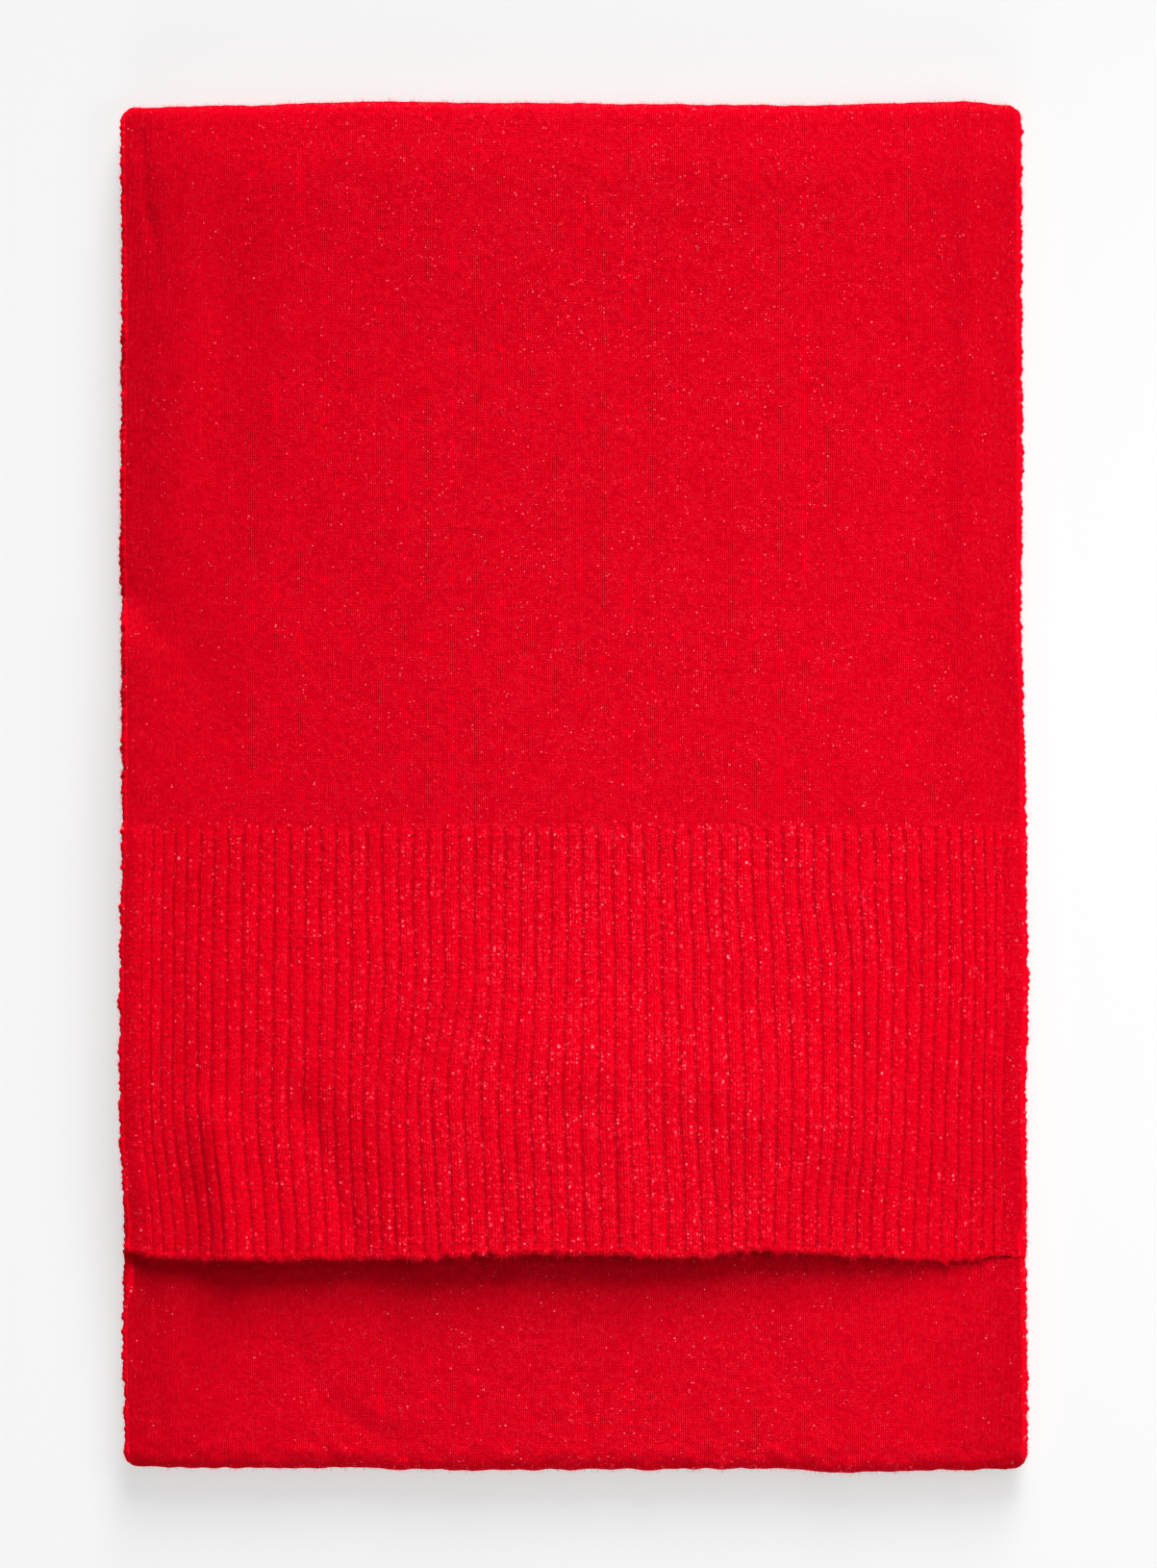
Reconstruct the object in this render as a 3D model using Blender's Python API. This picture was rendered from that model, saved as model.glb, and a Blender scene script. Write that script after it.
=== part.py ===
# A knit scarf folded into four layers and laid flat, with one ribbed end loose on top.
# Metres, +Z up. +Y runs from the loose hem up to the top fold, and +X to the right of it.
# The origin is at the middle of the face that rests.
#
# The cloth runs through the pile as a zigzag. The first layer is the ribbed end and the front
# stretch. It turns over the top fold into the second layer, which turns over the bottom fold
# into the third. The third and fourth layers are hidden, and are one solid with grooved edges.

import math

import bmesh
import bpy

# Cloth
CLOTH = 0.0034  # thickness of the plain knit
GAP = 0.0003  # between one piece and the next
LIP_REACH = 0.0016  # how far the round selvedge reaches past the flat cloth

# The pile, seen from above
TOP_FOLD_Y = 0.2272
BOTTOM_FOLD_Y = -0.2272
RIB_START_Y = -0.0120
HEM_Y = -0.1563
CORNER_RADIUS = 0.0026

# Folds
FOLD_REACH = 0.0055  # from the end of the flat cloth to the nose of a fold
HIDDEN_FOLD_REACH = 0.0046
INNER_REACH = 0.0012  # the small hollow inside a fold
FOLD_DROOP = 0.0010  # the nose sinks by this under its own weight
HIDDEN_HEM_ROUND = 0.0008
GROOVE_DEPTH = 0.0035  # between the two hidden layers, at the selvedges

# Ribs
RIBS = 59
EDGE_RIBS = 7  # ribs that narrow towards each selvedge
EDGE_RIB_SHARE = 0.62  # width of the outermost rib over that of a middle one
PLAIN_EDGE = 0.0055  # plain strip between the last valley and the selvedge
EDGE_SHOULDER = 0.0012  # from the last valley to the face of that strip
RIB_ONSET = 0.0045  # length over which the ribs rise out of the plain cloth
RIB_START_SHARE = 0.15
# One rib, from its left valley. across is a share of its width, and rise is over the plain face.
RIB_PROFILE = (
    {"across": 0.00, "rise": -0.0005},
    {"across": 0.22, "rise": 0.0004},
    {"across": 0.50, "rise": 0.0006},
    {"across": 0.78, "rise": 0.0004},
)

# Selvedges of each layer: a row for each station along the length
FIRST_LAYER_EDGES = (
    {"y": 0.2217, "left": -0.1508, "right": 0.1489},
    {"y": 0.1560, "left": -0.1498, "right": 0.1488},
    {"y": 0.0920, "left": -0.1504, "right": 0.1490},
    {"y": 0.0540, "left": -0.1497, "right": 0.1485},
    {"y": 0.0150, "left": -0.1495, "right": 0.1498},
    {"y": -0.0620, "left": -0.1507, "right": 0.1508},
    {"y": -0.1130, "left": -0.1509, "right": 0.1498},
    {"y": -0.1380, "left": -0.1499, "right": 0.1508},
    {"y": -0.1563, "left": -0.1484, "right": 0.1500},
)
SECOND_LAYER_EDGES = (
    {"y": 0.2217, "left": -0.1508, "right": 0.1489},
    {"y": 0.1200, "left": -0.1494, "right": 0.1481},
    {"y": -0.0300, "left": -0.1490, "right": 0.1490},
    {"y": -0.1480, "left": -0.1494, "right": 0.1503},
    {"y": -0.1690, "left": -0.1502, "right": 0.1507},
    {"y": -0.2217, "left": -0.1496, "right": 0.1510},
)
HIDDEN_LAYER_EDGES = (
    {"y": 0.2217, "left": -0.1500, "right": 0.1484},
    {"y": 0.0700, "left": -0.1510, "right": 0.1478},
    {"y": -0.0900, "left": -0.1488, "right": 0.1496},
    {"y": -0.2217, "left": -0.1496, "right": 0.1510},
)

# The folds and the hem waver: how far each stands out at places across the width
TOP_FOLD_LINE = (
    {"x": -0.1500, "out": -0.0016},
    {"x": -0.1150, "out": -0.0006},
    {"x": -0.0670, "out": 0.0007},
    {"x": 0.0000, "out": 0.0000},
    {"x": 0.0760, "out": -0.0005},
    {"x": 0.1280, "out": 0.0006},
    {"x": 0.1500, "out": -0.0008},
)
BOTTOM_FOLD_LINE = (
    {"x": -0.1500, "out": -0.0013},
    {"x": -0.1000, "out": -0.0007},
    {"x": -0.0150, "out": 0.0002},
    {"x": 0.0660, "out": -0.0004},
    {"x": 0.0890, "out": 0.0007},
    {"x": 0.1500, "out": -0.0004},
)
HEM_LINE = (
    {"x": -0.1500, "out": -0.0008},
    {"x": -0.1340, "out": 0.0009},
    {"x": -0.0960, "out": 0.0012},
    {"x": -0.0310, "out": 0.0002},
    {"x": 0.0100, "out": -0.0006},
    {"x": 0.0340, "out": 0.0011},
    {"x": 0.0620, "out": -0.0014},
    {"x": 0.1160, "out": 0.0021},
    {"x": 0.1500, "out": 0.0004},
)
WAVER_REACH = 0.060  # the waver dies out this far into the cloth

# The loose end stands off the layer under it, more in the middle, and lies in soft folds
LIFT_LINE = (
    {"y": -0.0150, "lift": 0.0000},
    {"y": -0.1200, "lift": 0.0032},
    {"y": -0.1563, "lift": 0.0031},
)
LIFT_ACROSS = (
    {"x": -0.1500, "share": 0.12},
    {"x": -0.1320, "share": 0.40},
    {"x": -0.1150, "share": 0.92},
    {"x": -0.0350, "share": 1.30},
    {"x": 0.0120, "share": 1.22},
    {"x": 0.0300, "share": 0.90},
    {"x": 0.0520, "share": 0.80},
    {"x": 0.1000, "share": 0.36},
    {"x": 0.1300, "share": 0.10},
    {"x": 0.1500, "share": 0.03},
)
# Each fold is a ridge or a trough along a line. flanks are its widths on the left or below, and
# on the right or above, and sharp is how pointed it is, from 0 to 1.
LOOSE_FOLDS = (
    {
        "line": ((-0.1240, -0.0967), (-0.1192, -0.1191), (-0.1157, -0.1383), (-0.1105, -0.1900)),
        "flanks": (0.0160, 0.0220),
        "height": 0.0018,
        "sharp": 0.9,
    },
    {
        "line": ((-0.0932, -0.0935), (-0.0852, -0.1159), (-0.0782, -0.1351), (-0.0590, -0.1900)),
        "flanks": (0.0180, 0.0200),
        "height": -0.0016,
        "sharp": 0.8,
    },
    {
        "line": ((0.0171, -0.1020), (0.0171, -0.1300), (0.0171, -0.1900)),
        "flanks": (0.0060, 0.0150),
        "height": 0.0009,
        "sharp": 0.9,
    },
    {
        "line": ((-0.0532, -0.0839), (0.0459, -0.0983), (0.0875, -0.1143), (0.1194, -0.1383)),
        "flanks": (0.0200, 0.0300),
        "height": 0.0007,
        "sharp": 0.0,
    },
)

# Fineness
ARC_STEPS = 8
FRONT_ROWS = 8
SECOND_ROWS = 12
HIDDEN_ROWS = 10
PLAIN_COLUMNS = 20
HIDDEN_COLUMNS = 14
LIP_ANGLES = (48, 0, -48)
HIDDEN_FOLD_ANGLES = (30, 58, 80)
RIB_ROWS_Y = (-0.0360, -0.0620, -0.0880, -0.1080, -0.1280, -0.1450)
# The hem's edge is round: back is the distance from it, and share is of the wall's thickness.
HEM_ROUND = (
    {"back": 0.0000, "share": 0.34},
    {"back": 0.0006, "share": 0.74},
    {"back": 0.0019, "share": 1.00},
)

# Colour of the yarn
RED = (0.66, 0.004, 0.018, 1.0)
ROUGHNESS = 0.9

TOP_FLAT_Y = TOP_FOLD_Y - FOLD_REACH
BOTTOM_FLAT_Y = BOTTOM_FOLD_Y + FOLD_REACH

# Each layer's selvedges, the two ends of its outline, and the line that its lower end follows
FIRST_LAYER = {"edges": FIRST_LAYER_EDGES, "ends": (HEM_Y, TOP_FOLD_Y), "low_line": HEM_LINE}
SECOND_LAYER = {
    "edges": SECOND_LAYER_EDGES,
    "ends": (BOTTOM_FOLD_Y, TOP_FOLD_Y),
    "low_line": BOTTOM_FOLD_LINE,
}
HIDDEN_LAYERS = {
    "edges": HIDDEN_LAYER_EDGES,
    "ends": (BOTTOM_FLAT_Y, TOP_FLAT_Y + HIDDEN_FOLD_REACH),
    "low_line": BOTTOM_FOLD_LINE,
}


def layer_floor(layer):
    """Height of the underside of a layer. The lowest layer is 0 and the loose one is 3."""
    return layer * (CLOTH + GAP)


def ease(share):
    share = min(max(share, 0.0), 1.0)
    return share * share * (3 - 2 * share)


def spread(first, last, count):
    return [first + (last - first) * step / (count - 1) for step in range(count)]


def read_line(table, key, value, at):
    """Reads a smooth curve through the rows of a table."""
    rows = sorted(table, key=lambda row: row[key])
    if at <= rows[0][key]:
        return rows[0][value]
    for low, high in zip(rows, rows[1:]):
        if at <= high[key]:
            share = ease((at - low[key]) / (high[key] - low[key]))
            return low[value] + (high[value] - low[value]) * share
    return rows[-1][value]


def selvedges(layer, y):
    """Left and right edge at this distance along the length, with round corners."""
    low_end, high_end = layer["ends"]
    past = max(y - high_end + CORNER_RADIUS, low_end + CORNER_RADIUS - y, 0.0)
    past = min(past, CORNER_RADIUS)
    inset = CORNER_RADIUS - math.sqrt(CORNER_RADIUS**2 - past**2)
    left = read_line(layer["edges"], "y", "left", y) + inset
    right = read_line(layer["edges"], "y", "right", y) - inset
    return left, right


def waver(layer, x, y):
    """How far a point shifts along the length because the folds and the hem aren't straight."""
    top_share = 1 - ease((TOP_FLAT_Y - y) / WAVER_REACH)
    low_share = 1 - ease((y - layer["ends"][0]) / WAVER_REACH)
    top_shift = read_line(TOP_FOLD_LINE, "x", "out", x) * top_share
    low_shift = read_line(layer["low_line"], "x", "out", x) * low_share
    return top_shift - low_shift


def fold_form(fold, x, y):
    """Height of one ridge or trough, which starts and ends level."""
    spans = list(zip(fold["line"], fold["line"][1:]))
    found = []
    for number, ((start_x, start_y), (end_x, end_y)) in enumerate(spans):
        way_x = end_x - start_x
        way_y = end_y - start_y
        share = ((x - start_x) * way_x + (y - start_y) * way_y) / (way_x**2 + way_y**2)
        share = min(max(share, 0.0), 1.0)
        off_x = x - start_x - way_x * share
        off_y = y - start_y - way_y * share
        flank = fold["flanks"][0 if off_x + off_y < 0 else 1]
        found.append((math.hypot(off_x, off_y), flank, (number + share) / len(spans)))
    distance, flank, place = min(found)
    past = min(distance / flank, 1.0)
    form = fold["sharp"] * (1 - past) ** 2 + (1 - fold["sharp"]) * (1 - ease(past))
    return fold["height"] * form * ease(4 * place) * ease(4 * (1 - place))


def loose_end_lift(x, y):
    """How far the loose end stands above its flat place."""
    lift = read_line(LIFT_LINE, "y", "lift", y) * read_line(LIFT_ACROSS, "x", "share", x)
    lift += sum(fold_form(fold, x, y) for fold in LOOSE_FOLDS)
    return max(lift, 0.0)


def placed(layer, x, y, z):
    """A point of the flat pile, moved to where the cloth really lies."""
    lift = loose_end_lift(x, y) if layer is FIRST_LAYER else 0.0
    return x, y + waver(layer, x, y), z + lift


def lip(layer, x, side, inner, outer):
    """The round selvedge on one side, from the outer face to the inner one."""
    points = []
    for degrees in LIP_ANGLES:
        angle = math.radians(degrees)
        share = (1 + math.sin(angle)) / 2
        y = inner[0] + (outer[0] - inner[0]) * share
        z = inner[1] + (outer[1] - inner[1]) * share
        points.append(placed(layer, x + side * LIP_REACH * math.cos(angle), y, z))
    return points


def end_cells(outer_count, side_count, inner_count):
    """Cells that close the end of a loop of outer face, right side, inner face and left side."""
    ratio = (outer_count - 1) // (inner_count - 1)
    first_inner = outer_count + side_count
    last_inner = first_inner + inner_count - 1
    total = last_inner + 1 + side_count
    cells = []
    for place in range(1, inner_count - 2):
        outer = list(range(place * ratio, (place + 1) * ratio + 1))
        cells.append(outer + [last_inner - place - 1, last_inner - place])
    cells.append(list(range(outer_count - 1 - ratio, first_inner + 2)))
    cells.append(list(range(last_inner - 1, total)) + list(range(ratio + 1)))
    return cells


def wool(name, colour):
    material = bpy.data.materials.new(name)
    material.use_nodes = True
    shader = material.node_tree.nodes["Principled BSDF"]
    shader.inputs["Base Color"].default_value = colour
    shader.inputs["Roughness"].default_value = ROUGHNESS
    shader.inputs["Metallic"].default_value = 0.0
    return material


def loft(name, loops, cells):
    """Joins closed loops of equal length into one solid, and closes both ends."""
    shape = bmesh.new()
    rows = [[shape.verts.new(point) for point in loop] for loop in loops]
    count = len(rows[0])
    for near, far in zip(rows, rows[1:]):
        for here in range(count):
            after = (here + 1) % count
            shape.faces.new((near[here], near[after], far[after], far[here]))
    for cell in cells:
        shape.faces.new([rows[0][place] for place in reversed(cell)])
        shape.faces.new([rows[-1][place] for place in cell])
    bmesh.ops.recalc_face_normals(shape, faces=shape.faces)
    mesh = bpy.data.meshes.new(name)
    shape.to_mesh(mesh)
    shape.free()
    mesh.shade_smooth()
    mesh.set_sharp_from_angle(angle=math.radians(50))
    mesh.materials.append(wool(name, RED))
    piece = bpy.data.objects.new(name, mesh)
    bpy.context.scene.collection.objects.link(piece)
    return piece


def flat_stations(y_places, layer):
    """Places on flat cloth, each as the (y, z) of its inner and outer faces."""
    floor = layer_floor(layer)
    return [((y, floor), (y, floor + CLOTH)) for y in y_places]


def fold_stations(flat_y, outward, upper_layer):
    """Places round a fold, from the upper layer down to the one below it."""
    low = layer_floor(upper_layer - 1)
    high = layer_floor(upper_layer) + CLOTH
    middle = (low + high) / 2
    stations = []
    for step in range(1, ARC_STEPS + 1):
        angle = math.pi * (0.5 - step / ARC_STEPS)
        faces = []
        for reach, half in ((INNER_REACH, GAP / 2), (FOLD_REACH, high - middle)):
            past = reach * math.cos(angle)
            sunk = FOLD_DROOP * past / FOLD_REACH
            faces.append((flat_y + outward * past, middle - sunk + half * math.sin(angle)))
        stations.append(tuple(faces))
    return stations


def plain_loop(layer, inner, outer):
    """One closed loop round plain cloth: outer face, right lip, inner face, left lip."""
    left, right = selvedges(layer, outer[0])
    left += LIP_REACH
    right -= LIP_REACH
    places = spread(left, right, PLAIN_COLUMNS)
    loop = [placed(layer, x, *outer) for x in places]
    loop += lip(layer, right, 1, inner, outer)
    loop += [placed(layer, x, *inner) for x in reversed(places)]
    loop += reversed(lip(layer, left, -1, inner, outer))
    return loop


def plain_sheet(name, layer, stations):
    loops = [plain_loop(layer, inner, outer) for inner, outer in stations]
    return loft(name, loops, end_cells(PLAIN_COLUMNS, len(LIP_ANGLES), PLAIN_COLUMNS))


def front_stretch():
    """The plain cloth above the ribs, and the top fold down to the second layer."""
    flat = spread(RIB_START_Y + GAP / 2, TOP_FLAT_Y, FRONT_ROWS)
    stations = flat_stations(flat, 3) + fold_stations(TOP_FLAT_Y, 1, 3)
    return plain_sheet("front_stretch", FIRST_LAYER, stations)


def second_stretch():
    """The second layer, and the bottom fold down to the third."""
    flat = spread(TOP_FLAT_Y - GAP, BOTTOM_FLAT_Y, SECOND_ROWS)
    stations = flat_stations(flat, 2) + fold_stations(BOTTOM_FLAT_Y, -1, 2)
    return plain_sheet("second_stretch", SECOND_LAYER, stations)


def valley_shares():
    """Where each valley lies, as a share of the way across the ribbed part."""
    widths = []
    for rib in range(RIBS):
        from_edge = min(rib, RIBS - 1 - rib)
        widths.append(EDGE_RIB_SHARE + (1 - EDGE_RIB_SHARE) * min(from_edge / EDGE_RIBS, 1.0))
    shares = [0.0]
    for width in widths:
        shares.append(shares[-1] + width / sum(widths))
    return shares


def rib_line(left, right):
    """The ribbed face at one station, as (x, rise) from the left selvedge to the right one."""
    first = left + PLAIN_EDGE
    last = right - PLAIN_EDGE
    crest = RIB_PROFILE[1]["rise"]
    line = [(left + LIP_REACH, 0.0), (first - EDGE_SHOULDER, crest)]
    valleys = [first + (last - first) * share for share in valley_shares()]
    for here, after in zip(valleys, valleys[1:]):
        for point in RIB_PROFILE:
            line.append((here + (after - here) * point["across"], point["rise"]))
    line.append((last, RIB_PROFILE[0]["rise"]))
    line += [(last + EDGE_SHOULDER, crest), (right - LIP_REACH, 0.0)]
    return line


def ribbed_loop(y, relief, thickness):
    """One closed loop round the ribbed end. relief and thickness are shares of the full ones."""
    left, right = selvedges(FIRST_LAYER, y)
    line = rib_line(left, right)
    floor = layer_floor(3)
    inner_z = floor + CLOTH / 2 * (1 - thickness)
    face_z = floor + CLOTH / 2 * (1 + thickness)
    outer = [placed(FIRST_LAYER, x, y, face_z + rise * relief * thickness) for x, rise in line]
    inner = [placed(FIRST_LAYER, x, y, inner_z) for x, _ in line[:: len(RIB_PROFILE)]]
    low, high = (y, inner_z), (y, face_z)
    right_lip = lip(FIRST_LAYER, line[-1][0], 1, low, high)
    left_lip = lip(FIRST_LAYER, line[0][0], -1, low, high)
    return outer + right_lip + inner[::-1] + left_lip[::-1], len(outer), len(inner)


def ribbed_end():
    """The loose end: ribs over a plain inside, with a round hem."""
    stations = [(RIB_START_Y - GAP / 2, RIB_START_SHARE, 1.0)]
    stations += [(RIB_START_Y - RIB_ONSET, 1.0, 1.0)]
    stations += [(y, 1.0, 1.0) for y in RIB_ROWS_Y]
    stations += [(HEM_Y + row["back"], 1.0, row["share"]) for row in reversed(HEM_ROUND)]
    made = [ribbed_loop(*station) for station in stations]
    _, outer_count, inner_count = made[0]
    cells = end_cells(outer_count, len(LIP_ANGLES), inner_count)
    return loft("ribbed_end", [loop for loop, _, _ in made], cells)


def hidden_loop(y, low, high):
    """One closed loop round both hidden layers, with a groove between them at each selvedge."""
    left, right = selvedges(HIDDEN_LAYERS, y)
    left += LIP_REACH
    right -= LIP_REACH
    middle = (low + high) / 2
    opening = GAP / 2 * (high - low) / layer_floor(2)
    depth = GROOVE_DEPTH * (high - low) / layer_floor(2)
    upper = ((y, middle + opening), (y, high))
    lower = ((y, low), (y, middle - opening))

    def side(x, way):
        points = lip(HIDDEN_LAYERS, x, way, *upper)
        points.append(placed(HIDDEN_LAYERS, x, *upper[0]))
        points.append(placed(HIDDEN_LAYERS, x - way * depth, y, middle))
        points.append(placed(HIDDEN_LAYERS, x, *lower[1]))
        return points + lip(HIDDEN_LAYERS, x, way, *lower)

    places = spread(left, right, HIDDEN_COLUMNS)
    loop = [placed(HIDDEN_LAYERS, x, y, high) for x in places]
    loop += side(right, 1)
    loop += [placed(HIDDEN_LAYERS, x, y, low) for x in reversed(places)]
    loop += reversed(side(left, -1))
    return loop


def hidden_layers():
    """The third and fourth layers, flat where they rest and round at their own fold."""
    top = layer_floor(1) + CLOTH
    end_y = BOTTOM_FLAT_Y + GAP
    stations = [(end_y, HIDDEN_HEM_ROUND, top)]
    stations += [(y, 0.0, top) for y in spread(end_y + HIDDEN_HEM_ROUND, TOP_FLAT_Y, HIDDEN_ROWS)]
    for degrees in HIDDEN_FOLD_ANGLES:
        angle = math.radians(degrees)
        y = TOP_FLAT_Y + HIDDEN_FOLD_REACH * math.sin(angle)
        half = top / 2 * math.cos(angle)
        stations.append((y, top / 2 - half, top / 2 + half))
    loops = [hidden_loop(*station) for station in stations]
    side_count = 2 * len(LIP_ANGLES) + 3
    return loft("hidden_layers", loops, end_cells(HIDDEN_COLUMNS, side_count, HIDDEN_COLUMNS))


def main():
    for item in list(bpy.data.objects):
        bpy.data.objects.remove(item, do_unlink=True)
    hidden_layers()
    second_stretch()
    front_stretch()
    ribbed_end()


main()
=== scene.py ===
import math

import bpy
import numpy as np
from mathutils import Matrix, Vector
from mathutils.bvhtree import BVHTree


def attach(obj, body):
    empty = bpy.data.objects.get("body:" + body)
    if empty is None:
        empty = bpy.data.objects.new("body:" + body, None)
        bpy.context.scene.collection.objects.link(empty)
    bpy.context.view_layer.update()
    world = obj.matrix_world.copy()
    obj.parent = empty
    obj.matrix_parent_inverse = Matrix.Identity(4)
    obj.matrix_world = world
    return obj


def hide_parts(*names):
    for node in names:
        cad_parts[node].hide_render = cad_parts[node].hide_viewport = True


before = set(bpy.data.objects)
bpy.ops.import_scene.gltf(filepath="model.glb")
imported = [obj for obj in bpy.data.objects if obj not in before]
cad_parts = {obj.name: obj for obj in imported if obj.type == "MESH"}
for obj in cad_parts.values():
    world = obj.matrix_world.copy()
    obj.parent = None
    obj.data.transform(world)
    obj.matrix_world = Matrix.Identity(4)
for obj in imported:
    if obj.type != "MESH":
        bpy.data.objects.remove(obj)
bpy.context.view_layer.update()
print("frame loaded")

# Sizes of the pile, in metres, the same as in the solids. The loose layer is 3 and the lowest 0.
pile = {
    "halfWidth": 0.1500,
    "cloth": 0.0034,  # thickness of the plain knit
    "gap": 0.0003,  # air between two layers
    "lipReach": 0.0016,  # from the flat cloth to the nose of the selvedge
    "lipNose": 0.0010,  # the shell's own lip stops short of that, under the chain of edge stitches
    "topFold": 0.2272,
    "bottomFold": -0.2272,
    "foldReach": 0.0055,
    "hiddenReach": 0.0046,
    "innerReach": 0.0012,
    "foldDroop": 0.0003,
    "foldFullness": 2.8,  # 2 is an ellipse, and more is squarer
    "ribStart": -0.0120,
    "hem": -0.1563,
    "cornerRadius": 0.0026,
    "waverReach": 0.060,  # the waver of a fold dies out this far into the cloth
    "coveredRelief": 0.25,  # share of its relief that cloth keeps where another layer lies on it
}
topFlat = pile["topFold"] - pile["foldReach"]
bottomFlat = pile["bottomFold"] + pile["foldReach"]
stackTop = 4 * pile["cloth"] + 3 * pile["gap"]

# Knit gauge: four stitch columns to a rib
gauge = {
    "ribs": 59,
    "edgeRibs": 7,  # ribs that narrow towards each selvedge
    "edgeShare": 0.62,
    "plainEdge": 0.0055,  # plain strip beside each selvedge
    "walesPerRib": 4,
    "course": 0.00092,  # height of one stitch
}

# How far the loose end stands off the layer under it: (y, lift), then (x, share of that lift)
looseEnd = {
    "lift": ((-0.1563, 0.0031), (-0.1200, 0.0032), (-0.0150, 0.0)),
    "across": (
        (-0.150, 0.12), (-0.132, 0.40), (-0.115, 0.92), (-0.035, 1.30), (0.012, 1.22),
        (0.030, 0.90), (0.052, 0.80), (0.100, 0.36), (0.130, 0.10), (0.150, 0.03),
    ),
}

# Ridges and troughs of the loose end. flanks are the widths on the left or below, and on the
# right or above, and sharp is how pointed the fold is, from 0 to 1.
looseFolds = (
    {"line": ((-0.1240, -0.0967), (-0.1192, -0.1191), (-0.1157, -0.1383), (-0.1105, -0.1900)),
     "flanks": (0.0160, 0.0220), "height": 0.0018, "sharp": 0.9},
    {"line": ((-0.0932, -0.0935), (-0.0852, -0.1159), (-0.0782, -0.1351), (-0.0590, -0.1900)),
     "flanks": (0.0180, 0.0200), "height": -0.0016, "sharp": 0.8},
    {"line": ((-0.1092, -0.1000), (-0.1060, -0.1200), (-0.1035, -0.1420)),
     "flanks": (0.0080, 0.0090), "height": -0.0004, "sharp": 0.2},
    {"line": ((-0.1300, -0.1180), (-0.1280, -0.1900)),
     "flanks": (0.0130, 0.0120), "height": -0.0005, "sharp": 0.0},
    {"line": ((0.0171, -0.1020), (0.0171, -0.1300), (0.0171, -0.1900)),
     "flanks": (0.0060, 0.0150), "height": 0.0009, "sharp": 0.9},
    {"line": ((-0.0532, -0.0839), (0.0459, -0.0983), (0.0875, -0.1143), (0.1194, -0.1383)),
     "flanks": (0.0200, 0.0300), "height": 0.0007, "sharp": 0.0},
)

# Ridges and troughs that run through the whole pile
pileFolds = (
    {"line": (
        (-0.1170, 0.2260), (-0.1170, 0.1500), (-0.1190, 0.1000), (-0.1290, 0.0500), (-0.1230, -0.0300),
    ),
     "flanks": (0.0140, 0.0250), "height": -0.0026, "sharp": 0.2},
    {"line": ((-0.1437, 0.2240), (-0.1428, 0.2000), (-0.1400, 0.1760)),
     "flanks": (0.0030, 0.0030), "height": -0.0007, "sharp": 0.3},
    {"line": ((-0.1410, 0.1960), (-0.1390, 0.1780), (-0.1372, 0.1560)),
     "flanks": (0.0036, 0.0034), "height": -0.0006, "sharp": 0.3},
    {"line": ((0.0091, 0.1500), (0.0095, 0.1000), (0.0125, 0.0400)),
     "flanks": (0.0220, 0.0160), "height": 0.0004, "sharp": 0.4},
    {"line": ((0.1305, 0.2270), (0.1303, 0.1500), (0.1290, 0.0800), (0.1320, 0.0180)),
     "flanks": (0.0060, 0.0075), "height": 0.0005, "sharp": 0.4},
)

# How far the face rises or sinks at each selvedge along the length, and how far in that reaches
edgeForms = {
    -1: {"width": 0.0150, "rise": (
        (-0.1640, 0.0000), (-0.1500, -0.0004), (-0.1300, 0.0016), (-0.0850, 0.0032), (0.0450, 0.0040),
        (0.0640, -0.0002), (0.1300, -0.0004), (0.2200, -0.0018),
    )},
    1: {"width": 0.0190, "rise": (
        (-0.2220, -0.0014), (-0.1500, -0.0012), (-0.0900, -0.0014), (-0.0300, -0.0022),
        (0.0150, -0.0032), (0.0500, -0.0022), (0.1200, -0.0036), (0.2200, -0.0036),
    )},
}
topSlope = {"from": 0.2020, "length": 0.0300, "drop": 0.0024}
# The loose end is pressed thin at its right corner
pressedCorner = {"x": 0.1530, "y": -0.1563, "halfWidth": 0.0400, "halfLength": 0.0400, "share": 0.98}

# How far the ribs bend aside: x, then the shift at each of three places along the loose end
ribBends = {
    "start": -0.0300, "places": (-0.0620, -0.1040, -0.1470),
    "shifts": (
        (-0.143, 0.0000, 0.0000, 0.0019), (-0.130, 0.0000, 0.0000, 0.0032),
        (-0.111, 0.0000, 0.0000, 0.0019), (-0.080, 0.0004, 0.0000, 0.0009),
        (-0.056, 0.0012, -0.0016, -0.0016), (-0.042, 0.0004, -0.0034, -0.0026),
        (-0.014, -0.0002, -0.0014, -0.0010), (0.015, 0.0006, 0.0010, 0.0010),
        (0.041, 0.0010, 0.0026, 0.0034), (0.066, 0.0018, 0.0038, 0.0019),
        (0.085, 0.0024, 0.0034, 0.0003), (0.104, 0.0008, 0.0008, -0.0022),
        (0.120, 0.0000, -0.0006, -0.0026), (0.142, 0.0000, 0.0000, -0.0003),
    ),
}

# The hem's own line: soft scallops, each rib end stands out a little, and (x, further out) for the rest
hemLine = {
    "lumps": ((0.0105, 0.00060), (0.0048, 0.00080), (0.0024, 0.00060)), "ribEnds": 0.00030, "reach": 0.0050,
    "waves": (
        (-0.1490, -0.0012), (-0.1400, 0.0000), (-0.0420, 0.0000), (-0.0260, -0.0007), (-0.0060, -0.0007),
        (0.0060, 0.0000), (0.0540, 0.0000), (0.0640, 0.0008), (0.0740, 0.0006), (0.0900, -0.0009),
        (0.1100, -0.0008), (0.1280, 0.0006), (0.1420, 0.0000),
    ),
}
# The folds are lumpy too, and they roll out a little further than in the solids
foldLumps = {
    "lumps": ((0.0110, 0.00030), (0.0040, 0.00020)), "reach": 0.0070,
    "topRollOut": 0.0003, "rollOut": 0.0007,
}


def ease(share):
    share = np.clip(share, 0.0, 1.0)
    return share * share * (3 - 2 * share)


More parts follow.
